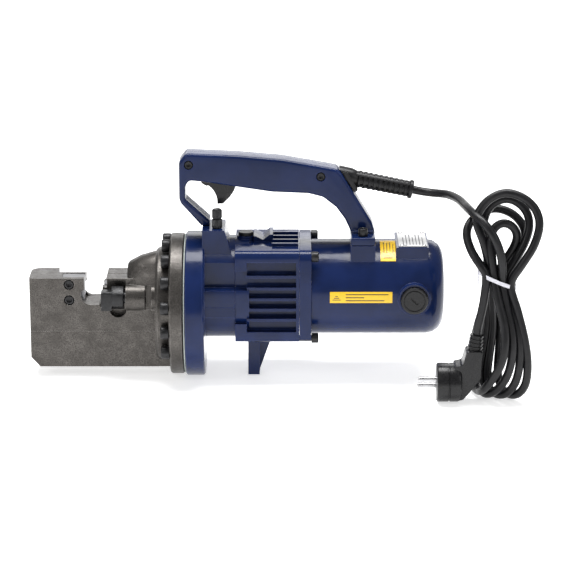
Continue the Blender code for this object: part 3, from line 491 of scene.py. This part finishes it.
def tube(name, points, radius, slot, **options):
    """A round cord along points, as an open curve with round ends."""
    curve = bpy.data.curves.new(name, "CURVE")
    curve.dimensions = "3D"
    curve.bevel_depth = radius * MM
    curve.bevel_resolution = 6
    curve.use_fill_caps = True
    spline = curve.splines.new("POLY")
    spline.points.add(len(points) - 1)
    for point, place in zip(spline.points, points):
        point.co = (*(Vector(place) * MM), 1.0)
    spline.use_smooth = True
    return piece(name, curve, slot, **options)


def smooth_route(points, spacing=2.5):
    """Points at an even spacing along a smooth curve through the given ones."""
    knots = [Vector(p) for p in points]
    padded = [2 * knots[0] - knots[1]] + knots + [2 * knots[-1] - knots[-2]]
    fine = []
    for a, b, c, d in zip(padded, padded[1:], padded[2:], padded[3:]):
        for i in range(24):
            t = i / 24
            fine.append(0.5 * (2 * b + (c - a) * t + (2 * a - 5 * b + 4 * c - d) * t * t
                               + (3 * b - a - 3 * c + d) * t ** 3))
    fine.append(knots[-1])
    lengths = [0.0]
    for a, b in zip(fine, fine[1:]):
        lengths.append(lengths[-1] + (b - a).length)
    count = round(lengths[-1] / spacing)
    route = []
    k = 0
    for i in range(count + 1):
        want = lengths[-1] * i / count
        while k < len(fine) - 2 and lengths[k + 1] < want:
            k += 1
        share = (want - lengths[k]) / (lengths[k + 1] - lengths[k])
        route.append(fine[k].lerp(fine[k + 1], share))
    for _ in range(SMOOTHING_PASSES):
        inner = [(a + 2 * b + c) / 4 for a, b, c in zip(route, route[1:], route[2:])]
        route = [route[0], *inner, route[-1]]
    return route


# --- CAD nodes that keep their shape -------------------------------------------------------------


def smoothing(angle):
    """A modifier group that welds a node's mesh and shades it smooth up to an edge angle."""
    group = bpy.data.node_groups.new("smooth_by_angle", "GeometryNodeTree")
    for way in ("INPUT", "OUTPUT"):
        group.interface.new_socket("Geometry", in_out=way, socket_type="NodeSocketGeometry")
    nodes, links = group.nodes, group.links
    start, end = nodes.new("NodeGroupInput"), nodes.new("NodeGroupOutput")
    weld = nodes.new("GeometryNodeMergeByDistance")
    weld.inputs["Distance"].default_value = MERGE
    faces = nodes.new("GeometryNodeSetShadeSmooth")
    faces.domain = "FACE"
    faces.inputs["Shade Smooth"].default_value = True
    edges = nodes.new("GeometryNodeSetShadeSmooth")
    edges.domain = "EDGE"
    edges.inputs["Shade Smooth"].default_value = False
    bend = nodes.new("GeometryNodeInputMeshEdgeAngle")
    sharp = nodes.new("FunctionNodeCompare")
    sharp.inputs["B"].default_value = radians(angle)
    links.new(bend.outputs["Unsigned Angle"], sharp.inputs["A"])
    links.new(sharp.outputs["Result"], edges.inputs["Selection"])
    links.new(start.outputs[0], weld.inputs["Geometry"])
    links.new(weld.outputs["Geometry"], faces.inputs["Geometry"])
    links.new(faces.outputs["Geometry"], edges.inputs["Geometry"])
    links.new(edges.outputs["Geometry"], end.inputs[0])
    return group


def finish_cad_nodes():
    group = smoothing(32)
    slots = {entry["node"]: entry["material_slot"] for entry in frame["record"]["subparts"]}
    for name, node in frame["nodes"].items():
        node.data.materials.clear()
        node.data.materials.append(FINISHES[slots[name]])
        if "custom_normal" in node.data.attributes:
            node.data.attributes.remove(node.data.attributes["custom_normal"])
        node.modifiers.new("smooth", "NODES").node_group = group


# --- screws --------------------------------------------------------------------------------------


def cap_screw_mesh(name, head_r, head_high, shank_r, shank_long):
    """A knurled socket head cap screw along +Z, standing on z = 0."""
    count = 72
    across = head_r * 0.98
    depth = head_high * 0.55
    rings = [circle(0.01, -shank_long, count), circle(shank_r, -shank_long, count),
             circle(shank_r, 0, count), circle(head_r - 0.25, 0, count),
             circle(head_r - 0.05, 0.4, count, 0.07), circle(head_r - 0.05, head_high - 1.0, count, 0.07),
             circle(head_r - 0.25, head_high - 0.6, count), circle(head_r - 0.9, head_high, count),
             circle(across * 0.62, head_high, count), hexagon(across, head_high - 0.45, count),
             hexagon(across, head_high - depth, count), circle(0.01, head_high - depth - 0.7, count)]
    return finished_mesh(name, loft(rings), 30)


def screw_at(name, mesh, origin, along):
    """Stands for the CAD screw of the same name."""
    copy = mesh.copy()
    turn = Vector((0, 0, 1)).rotation_difference(Vector(along)).to_matrix().to_4x4()
    copy.transform(Matrix.Translation(mm(*origin)) @ turn)
    piece(f"{name}_detail", copy, "black_steel", replaces=(name,))


def screws():
    flange = cap_screw_mesh("m8", 6.4, 8.0, 4.0, 28.0)
    for i in range(BOLT_COUNT):
        a = radians(BOLT_STEP * (i + 0.5 - BOLT_COUNT / 2))
        place = (HEAD_BOLT_SEAT, BOLT_CIRCLE_R * sin(a), FLANGE_Z + BOLT_CIRCLE_R * cos(a))
        screw_at(f"head_bolt_{i + 1:02d}", flange, place, (-1, 0, 0))
    cover = cap_screw_mesh("m6", 5.0, 7.0, 3.0, 20.0)
    number = 1
    for side in (-1, 1):
        for up in (-1, 1):
            place = (MOTOR_BOLT_SEAT, side * MOTOR_BOLT_Y, MOTOR_Z + up * MOTOR_BOLT_Z)
            screw_at(f"motor_bolt_{number}", cover, place, (1, 0, 0))
            number += 1
    foot = cap_screw_mesh("m6_short", 4.8, 7.5, 3.0, 13.0)
    for name, y in HANDLE_BOLT_Y.items():
        screw_at(name, foot, (sum(HANDLE_FOOT_X) / 2, y, HANDLE_FOOT_Z[1] + 0.3), (0, 0, 1))
    blade = cap_screw_mesh("m5_blade", 4.9, 4.1, 2.5, 8.0)
    for name, z in BLADE_SCREW_Z.items():
        screw_at(name, blade, (-166, -15.9, z), (0, -1, 0))
    grip = cap_screw_mesh("m4_handle", 4.1, 3.6, 2.0, 18.5)
    for name, (x, z) in HANDLE_SCREWS.items():
        screw_at(name, grip, (x, -9.5, z), (0, -1, 0))


def valve_knob():
    """The release valve's knurled thumb screw and the hexagon nut under it."""
    x, y = VALVE
    count = 60
    rings = [circle(0.01, 142.0, count), circle(2.5, 142.0, count), circle(2.5, 163.6, count),
             circle(4.2, 163.7, count), circle(4.75, 164.6, count, 0.22), circle(4.75, 171.6, count, 0.22),
             circle(4.1, 172.8, count), circle(3.2, 173.2, count), circle(0.01, 173.0, count)]
    work = loft(rings)
    bmesh.ops.translate(work, verts=work.verts, vec=mm(x, y, 0))
    piece("release_knob_detail", finished_mesh("release_knob", work, 25), "black_steel",
          body="release_valve", replaces=("release_valve_knob",))
    rings = [circle(2.8, 153.8, count), circle(4.5, 153.8, count), hexagon(9.0, 154.3, count),
             hexagon(9.0, 162.4, count), circle(4.2, 163.2, count), circle(2.8, 163.2, count)]
    nut = loft(rings, closed=True)
    bmesh.ops.translate(nut, verts=nut.verts, vec=mm(x, y, 0))
    piece("release_nut_detail", finished_mesh("release_nut", nut, 25), "black_steel",
          replaces=("release_valve_nut",))


# --- handle --------------------------------------------------------------------------------------


def handle_outline():
    foot_left, foot_right = HANDLE_FOOT_X
    foot_low = HANDLE_FOOT_Z[0]
    return rounded([
        (-34.5, 153.9, 0), (-54.5, 176.4, 6), (-56.0, 181.0, 6), (-56.0, 218.0, 8), (-48.9, 226.7, 6),
        (1.8, 224.4, 60), (45.4, 220.6, 60), (89.0, 212.9, 40), (99.5, 210.8, 6), (105.0, 205.0, 5),
        (134.4, 156.7, 8), (foot_right, 147.0, 4), (foot_right, foot_low, 0), (foot_left, foot_low, 0),
        (foot_left, 148.0, 5), (107.6, 160.3, 8), (99.0, 172.3, 8), (85.8, 182.7, 8), (71.4, 186.4, 8),
        (35.4, 187.9, 40), (0.7, 193.1, 40), (-35.3, 198.4, 8), (-46.5, 199.3, 5), (-49.8, 193.0, 3),
        (-49.8, 180.6, 3), (-26.0, 159.0, 0), (-26.0, 153.9, 0)], 6)


def boot_axis(distance):
    """A point on the strain relief's axis, measured back from its free end."""
    return BOOT_END - Vector((cos(BOOT_TILT), 0, -sin(BOOT_TILT))) * distance


def rod_between(start, end, radius, steps=40):
    along = Vector(end) - Vector(start)
    return move(turned([(0, 0), (radius, 0), (radius, along.length), (0, along.length)], steps), start, along)


def handle_half(name, side):
    """One enamelled casting: rounded outer rim, sharp seam, flat foot, room for the switch and trigger."""
    seam, outer = side * 0.15, side * HANDLE_HALF
    body = slab_y(handle_outline(), seam, outer, near_round=0.35, far_round=2.8)
    low, high = sorted((side * (HANDLE_HALF - 2), side * HANDLE_FOOT_HALF))
    foot = block((HANDLE_FOOT_X[0], low, HANDLE_FOOT_Z[0]), (HANDLE_FOOT_X[1], high, HANDLE_FOOT_Z[1]), 1.2)
    middle = sum(HANDLE_FOOT_X) / 2
    rib_low, rib_high = sorted((side * (HANDLE_HALF - 2), side * (HANDLE_HALF + 3.5)))
    rib = block((HANDLE_FOOT_X[0] + 1, rib_low, 142), (HANDLE_FOOT_X[1] - 1, rib_high, 149.5), 1.6)
    whole = carve(body, "UNION", [foot, rib])
    pivot_x, pivot_z = TRIGGER_PIVOT
    cuts = [rod_between((middle, side * 24, 130), (middle, side * 24, 160), 3.3),
            rod_between((middle, side * 24, HANDLE_FOOT_Z[1]), (middle, side * 24, 160), 5.6),
            block((-38, -6, 180), (3.5, 6, 213)), block((8.0, -9, 196.5), (44.5, 9, 214.0)),
            rod_between((pivot_x, -9.6, pivot_z), (pivot_x, 9.6, pivot_z), 1.9),
            rod_between(boot_axis(80), boot_axis(55), 5.4)]
    for x, z in HANDLE_SCREWS.values():
        cuts.append(rod_between((x, -20, z), (x, -9.2, z), 4.6))
        cuts.append(rod_between((x, -11, z), (x, 10, z), 2.4))
    whole = carve(whole, "DIFFERENCE", cuts)
    piece(f"{name}_shell", finished_mesh(name, whole, 30), "navy_enamel", replaces=(name,),
          finish=HANDLE_ENAMEL)


def trigger():
    hook = [(x, z, 0) for x, z in fan((-39, 176), 20.5, 60, -6, 14)]
    outline = rounded([(-34.4, 206, 0), (-34.4, 194.5, 2), *hook, (-13.0, 174.4, 3), (-6.0, 181.5, 5),
                       (-2.0, 187.5, 5), (0.6, 194.5, 3), (0.6, 206, 0)], 6)
    work = slab_y(outline, -5, 5, near_round=1.3, far_round=1.3)
    pivot_x, pivot_z = TRIGGER_PIVOT
    pin = rod_between((pivot_x, -9, pivot_z), (pivot_x, 9, pivot_z), 1.5)
    piece("trigger_detail", finished_mesh("trigger", merged([work, pin]), 40), "black_plastic",
          body="trigger", replaces=("trigger",))


# --- labels and plate ----------------------------------------------------------------------------


def on_motor(x, angle, lift):
    """A point on the motor's round side; angle 0 faces the stopper side and 90 is the top."""
    r = MOTOR_R + lift
    a = radians(angle)
    return (x, -r * cos(a), MOTOR_Z + r * sin(a))


def motor_patch(work, x_span, angles, low=0.05, high=0.30, columns=12, rows=10):
    """A thin curved sheet that follows the motor's side."""
    grids = []
    for lift in (low, high):
        grids.append([[work.verts.new(mm(*on_motor(x_span[0] + (x_span[1] - x_span[0]) * i / columns,
                                                   angles[0] + (angles[1] - angles[0]) * j / rows, lift)))
                       for i in range(columns + 1)] for j in range(rows + 1)])
    for grid in grids:
        for j in range(rows):
            for i in range(columns):
                work.faces.new((grid[j][i], grid[j][i + 1], grid[j + 1][i + 1], grid[j + 1][i]))
    inner, outer = grids
    border = [(0, i) for i in range(columns)] + [(j, columns) for j in range(rows)]
    border += [(rows, i) for i in range(columns, 0, -1)] + [(j, 0) for j in range(rows, 0, -1)]
    for (j, i), (n, m) in zip(border, border[1:] + border[:1]):
        work.faces.new((inner[j][i], inner[n][m], outer[n][m], outer[j][i]))


def labels():
    """Two yellow labels with plain rows of bars in place of any print."""
    long_x, long_a = (92.5, 153.8), (-4.9, 8.6)
    work = bmesh.new()
    motor_patch(work, long_x, long_a)
    piece("long_label", finished_mesh("long_label", work), "yellow_label")
    ink = bmesh.new()
    for row, (start, end) in enumerate(((108, 150), (108, 126), (108, 146))):
        angle = 5.3 - row * 3.7
        motor_patch(ink, (start, end), (angle - 0.55, angle + 0.55), 0.31, 0.36, 8, 1)
    for turn in range(3):
        angle = -1.2 + turn * 2.2
        motor_patch(ink, (95 + turn * 1.4, 103 - turn * 1.4), (angle - 0.45, angle + 0.45), 0.31, 0.36, 3, 1)
    piece("long_label_bars", finished_mesh("long_label_bars", ink), "black_plastic", finish=INK)
    top = bmesh.new()
    motor_patch(top, (142.5, 157.6), (46.5, 86.0), 0.05, 0.45, 6, 24)
    piece("top_label", finished_mesh("top_label", top), "yellow_label")
    bars = bmesh.new()
    for x, low, high in ((146.0, 58, 80), (149.0, 58, 80), (152.0, 62, 80), (155.0, 58, 75)):
        motor_patch(bars, (x - 0.35, x + 0.35), (low, high), 0.46, 0.52, 1, 10)
    motor_patch(bars, (145.5, 154.5), (50.5, 51.6), 0.46, 0.52, 4, 1)
    piece("top_label_bars", finished_mesh("top_label_bars", bars), "black_plastic", finish=INK)


def rating_plate():
    """A blank plate on the motor's flat pad, with rows of bars and a rivet in each corner."""
    outline = rounded([(160.5, -28, 2), (188.5, -28, 2), (188.5, 28, 2), (160.5, 28, 2)], 5)
    plate = loft([[(x, y, z) for x, y in outline] for z in (136.15, 137.0)])
    piece("rating_plate", finished_mesh("rating_plate", plate), "white_label")
    rows = []
    for row in range(7):
        x = 165.0 + row * 3.2
        reach = 22 if row % 3 else 12
        rows.append(block((x, -22, 137.0), (x + 0.9, reach - 6, 137.06)))
    rows.append(block((163.5, -25.5, 137.0), (168.5, -23.6, 137.06)))
    piece("rating_plate_bars", finished_mesh("rating_plate_bars", merged(rows)), "black_plastic",
          finish=plastic("plate_print", (0.10, 0.10, 0.11), 0.5))
    heads = []
    for x, y in ((185.5, 25), (163.5, 25), (185.5, -25), (163.5, -25)):
        heads.append(move(turned([(0, 0), (1.9, 0), (1.9, 0.5), (1.3, 1.0), (0.5, 1.2), (0, 1.22)], 24),
                          (x, y, 137.0)))
    piece("rating_plate_rivets", finished_mesh("rating_plate_rivets", merged(heads)), "bright_steel")


# --- cord ----------------------------------------------------------------------------------------

LEAD = ((175.0, 0, 187.44), (185.0, 0, 185.4), (196.0, -5, 185.2), (208.0, -18, 187.0),
        (217.0, -38, 187.5), (222.0, -57, 186.5), (225.0, -71, 186.0))

# the tied loops, strand by strand: down through the tie, round below it, up and round above it
BUNDLE = (
    (230, -86, 184), (238, -98, 179), (247, -104.5, 168), (253.4, -105.5, 153), (256.5, -103.5, 138),
    (257, -100.5, 121),
    # first loop below
    (261, -105, 97), (266.5, -110, 72), (267, -112, 50), (262.5, -109, 28), (253, -101, 11.5),
    (244, -90, 4.6), (240, -78, 7), (239.5, -69, 18), (241.5, -66, 34), (244, -69, 60), (245, -77, 92),
    (244, -83.7, 124),
    # second loop above
    (243, -80, 150), (239.5, -77, 170), (243, -75, 185), (251.5, -75, 194), (262.4, -75.5, 197),
    (273, -77, 193), (281, -80, 184), (283, -84, 171), (278, -88, 155), (269, -91, 139), (260.5, -92, 121),
    # second loop below
    (267, -100, 95), (273.5, -107, 70), (275, -109, 45), (271.5, -106, 22), (263.5, -99, 8),
    (254, -89, 4.3), (248, -78, 8), (247, -70, 20), (249, -67.5, 40), (251, -71, 66), (249, -80, 96),
    (246.5, -92, 124),
    # outer loop above
    (239.6, -93, 155.6), (232.6, -90, 174.3), (233.0, -87, 184.8), (240.8, -85, 196), (251.6, -85, 203.2),
    (262.4, -86, 205.4), (276.8, -88, 200.6), (287.7, -91, 190.6), (291.9, -94, 175.6),
    (286.5, -97, 155.6), (275.6, -100, 138.1), (265, -100.5, 118.5),
    # outer loop below
    (272, -104, 93), (279, -107, 66), (282.5, -108, 42), (281.5, -106, 21), (275, -100, 8),
    (266, -89, 4.3), (260, -78, 8), (257, -70, 21), (258, -67, 42), (259, -70, 68), (256, -77, 97),
    (252.5, -83.7, 121.5),
    # inner loop above
    (260, -84, 137), (268.5, -84, 151), (271.5, -84.5, 163), (266.5, -85.5, 172.5), (257, -87, 176),
    (248.5, -89.5, 171), (245.5, -94, 161), (246.5, -98, 147), (249, -100.5, 124.5),
    # first loop below on the left
    (253, -107, 104), (258.5, -113, 82), (259.5, -117, 62), (256, -117, 43), (248, -112, 26),
    (241.5, -101, 13), (237, -84, 6), (233, -72, 8), (231, -62, 19), (232.5, -58, 36), (236, -60, 60),
    (241.5, -67, 84), (251, -76, 105), (261, -83.7, 120),
    # left loop above
    (270, -80, 137), (278.5, -76, 151), (280, -71, 165), (270.5, -67, 178), (256, -65.5, 184.5),
    (243, -66, 183.5), (232.5, -69, 178), (225, -75, 170), (223.3, -82, 161), (228, -91, 148),
    (235, -98, 138), (241.3, -100.5, 127.5),
    # the strand to the plug
    (239.8, -101.5, 105), (236.8, -101, 87), (234.2, -98.5, 72.5),
)
PLUG_END = (234.0, -98.0, 66.0)


def cord(pieces_on_it):
    route = smooth_route((*LEAD, *BUNDLE, PLUG_END))
    start = [boot_axis(18), boot_axis(9)]
    points = start + route
    item = tube("mains_cord", points, CORD_D / 2, "black_rubber", replaces=("cord_lead", "cord_hank"))
    return item


def strain_relief():
    """The moulded boot: slotted ribs, a collar at its free end and a slanted flange on the handle."""
    steps = 48
    rings = [circle(4.5, -0.6, steps), circle(6.8, 0, steps), circle(8.6, -0.2, steps),
             circle(9.3, -1.0, steps), circle(9.3, -3.4, steps), circle(8.8, -4.0, steps),
             circle(6.9, -4.4, steps)]
    ribs, pitch = 10, 5.2
    for i in range(ribs):
        start = -5.6 - pitch * i
        wide = 8.1 + 0.05 * i
        rings += [circle(6.9, start + 0.2, steps), circle(wide - 0.3, start, steps),
                  circle(wide, start - 0.4, steps), circle(wide, start - 2.5, steps),
                  circle(wide - 0.3, start - 2.9, steps), circle(6.9, start - 3.1, steps)]
    rings += [circle(8.4, -59, steps), circle(9.4, -63, steps), circle(9.6, -76, steps)]
    direction = Vector((cos(BOOT_TILT), 0, -sin(BOOT_TILT)))
    barrel = move(loft(rings), BOOT_END, direction)
    webs = []
    for turn in range(4):
        web = block((-1.6, 6.2, -58), (1.6, 8.3, -4), 0.3, 2)
        bmesh.ops.rotate(web, verts=web.verts, matrix=Matrix.Rotation(pi / 2 * turn + pi / 4, 3, "Z"))
        webs.append(move(web, BOOT_END, direction))
    top, bottom = Vector((104.4, 206.0)), Vector((116.4, 186.3))
    down = (bottom - top).normalized()
    out = Vector((-down.y, down.x))
    inside = [top - down * 30 + out * 0.35, bottom + down * 30 + out * 0.35,
              bottom + down * 30 - out * 60, top - down * 30 - out * 60]
    trimmed = carve(barrel, "DIFFERENCE", [slab_y([tuple(c) for c in inside], -20, 20)])
    flange = [(*(top + out * 0.35), 0), (*(top + out * 5.2), 2.0), (*(bottom + out * 5.2), 2.0),
              (*(bottom + out * 0.35), 0)]
    plate = slab_y(rounded([tuple(c) for c in flange], 5), -9.6, 9.6, 1.2, 1.2)
    neck = rod_between(boot_axis(79), boot_axis(58), 5.0)
    work = merged([trimmed, *webs, plate, neck])
    piece("strain_relief_boot", finished_mesh("strain_relief_boot", work, 30), "black_rubber",
          replaces=("strain_relief",))


def squared(angle, power):
    """A point on a unit circle whose sides flatten as power drops below 1."""
    x, y = cos(angle), sin(angle)
    return abs(x) ** power * (1 if x >= 0 else -1), abs(y) ** power * (1 if y >= 0 else -1)


def cable_tie():
    """A flat nylon strap round the strands, with its ratchet head and a short tail."""
    around = []
    for i in range(72):
        a = 2 * pi * i / 72
        around.append(squared(a, 0.85))
    rings = []
    for reach, up in ((0.0, -1.9), (0.0, 1.9), (1.1, 1.9), (1.1, -1.9)):
        ring = []
        for x, y in around:
            across = x * (TIE_HALF_WIDTH + reach)
            ring.append(TIE_CENTRE + Vector((across, y * (TIE_HALF_DEPTH + reach), across * TIE_SLOPE + up)))
        rings.append(ring)
    strap = loft(rings, closed=True)
    head = block((-3.2, -2.6, -2.9), (3.2, 2.6, 2.9), 0.7)
    head_place = mm(TIE_CENTRE.x - 6, TIE_CENTRE.y + 16.6, TIE_CENTRE.z + 2.5)
    bmesh.ops.translate(head, verts=head.verts, vec=head_place)
    tail = block((-15.8, -6.6, -6.5), (-14.5, -3.0, 6.5), 0.4, 2)
    bmesh.ops.translate(tail, verts=tail.verts, vec=mm(TIE_CENTRE.x - 3.4, TIE_CENTRE.y, TIE_CENTRE.z + 2.4))
    return piece("cable_tie_strap", finished_mesh("cable_tie_strap", merged([strap, head, tail])),
                 "white_plastic", replaces=("cable_tie",))


def bent_rings(axis, sizes, count=40, square=1.0):
    """Rings round a bent axis in the XZ plane; square under 1 flattens their sides."""
    rings = []
    for i, (point, (wide, deep)) in enumerate(zip(axis, sizes)):
        before, after = axis[max(i - 1, 0)], axis[min(i + 1, len(axis) - 1)]
        along = (Vector(after) - Vector(before)).normalized()
        across = along.cross(Vector((0, 1, 0)))
        ring = []
        for k in range(count):
            a = 2 * pi * k / count
            u, v = squared(a, square)
            ring.append(Vector(point) + across * wide * u + Vector((0, 1, 0)) * deep * v)
        rings.append(ring)
    return rings


def plug():
    """An angled two-pin plug: round base, flat-sided grip, ribbed relief and bright pins."""
    y, z = PLUG_Y, PLUG_Z
    base = move(turned([(0, -24.0), (17.6, -24.0), (18.6, -23.2), (PLUG_R, -22.2), (PLUG_R, -13.0),
                        (18.3, -12.4), (18.3, -11.6), (PLUG_R, -11.0), (PLUG_R, -3.5), (18.2, -1.6),
                        (16.0, 0), (0, 0)], 72), (219.5, y, z), (1, 0, 0))
    base = carve(base, "DIFFERENCE", [block((190, y - 30, z + 17.6), (214, y + 30, z + 24))])
    outline = rounded([(212, 38, 2), (219.8, 39.5, 4), (223.6, 53, 3), (239.4, 53, 2), (238.2, 45, 4),
                       (237.6, 26.5, 5), (227.6, 13.0, 8), (220.4, 4.3, 4), (212, 4.3, 1)], 8)
    grip = slab_y(outline, y - PLUG_GRIP_HALF, y + PLUG_GRIP_HALF, 3.0, 3.0)
    relief_axis, relief_sizes = [], []
    ribs = 5
    for i in range(ribs):
        for step, grow in ((0.0, 0.0), (0.06, 1.0), (0.5, 1.0), (0.56, 0.0)):
            share = (i + step) / ribs
            relief_axis.append((231.9 + 2.1 * share, y, 51 + 18.3 * share))
            width = 6.9 - 1.5 * share + grow * 0.9
            relief_sizes.append((width, width + 0.3))
    relief = loft(bent_rings(relief_axis, relief_sizes, square=0.9))
    body = piece("plug_body", finished_mesh("plug_body", merged([base, grip, relief]), 30),
                 "black_plastic", replaces=("plug",))
    pins = []
    for side in (-1, 1):
        start = (195.0, y - side * 7.7, z + side * 5.5)
        pins.append(move(turned([(0, 0), (2.4, 0), (2.4, 15.6), (2.0, 17.0), (1.1, 17.6), (0, 17.6)], 32),
                         start, (-1, 0, 0)))
    blades = piece("plug_pins", finished_mesh("plug_pins", merged(pins)), "bright_steel")
    return [body, blades]


# --- studio --------------------------------------------------------------------------------------


def floor():
    work = bmesh.new()
    bmesh.ops.create_grid(work, x_segments=1, y_segments=1, size=14.0)
    mesh = bpy.data.meshes.new("floor")
    work.to_mesh(mesh)
    work.free()
    item = bpy.data.objects.new("floor", mesh)
    item.location = (0, 4, -0.0003)
    bpy.context.scene.collection.objects.link(item)
    sweep = Finish("studio_floor", (0.86, 0.86, 0.86), 0.75, 0.0, Emission_Strength=0.62)
    sweep.shader.inputs["Emission Color"].default_value = (1, 1, 1, 1)
    mesh.materials.append(sweep.material)


# name, place, what it faces, size and power
SOFTBOXES = (
    ("overhead", (0.05, 0.15, 1.5), (0.05, 0, 0), (1.5, 0.6), 36),
    ("behind", (0.0, 2.3, 0.85), (0.0, 0, 0.12), (2.6, 0.9), 13),
    ("front_left", (-1.5, -1.6, 1.5), (0, 0, 0.08), (0.7, 0.7), 9),
    ("front_right", (1.8, -1.2, 1.1), (0.1, 0, 0.08), (0.4, 0.9), 4),
)


def softbox(name, place, aim, size, power):
    light = bpy.data.lights.new(name, "AREA")
    light.shape = "RECTANGLE"
    light.size, light.size_y = size
    light.energy = power
    item = bpy.data.objects.new(name, light)
    item.location = place
    item.rotation_mode = "QUATERNION"
    item.rotation_quaternion = (Vector(aim) - Vector(place)).to_track_quat("-Z", "Y")
    bpy.context.scene.collection.objects.link(item)


def studio():
    floor()
    world = bpy.data.worlds.new("studio")
    world.use_nodes = True
    world.node_tree.nodes["Background"].inputs["Color"].default_value = (1, 1, 1, 1)
    world.node_tree.nodes["Background"].inputs["Strength"].default_value = 0.32
    bpy.context.scene.world = world
    for light in SOFTBOXES:
        softbox(*light)


def camera():
    data = bpy.data.cameras.new("camera")
    data.lens = LENS
    data.sensor_width = 36
    item = bpy.data.objects.new("camera", data)
    back = Vector((0, -cos(ELEVATION), sin(ELEVATION)))
    item.location = (TARGET + back * DISTANCE) * MM
    item.rotation_mode = "QUATERNION"
    item.rotation_quaternion = (-back).to_track_quat("-Z", "Y")
    bpy.context.scene.collection.objects.link(item)
    bpy.context.scene.camera = item


camera()
studio()
finish_cad_nodes()
tie = cable_tie()
cord([*plug(), tie])
strain_relief()
screws()
valve_knob()
handle_half("handle_near_half", -1)
handle_half("handle_far_half", 1)
trigger()
labels()
rating_plate()
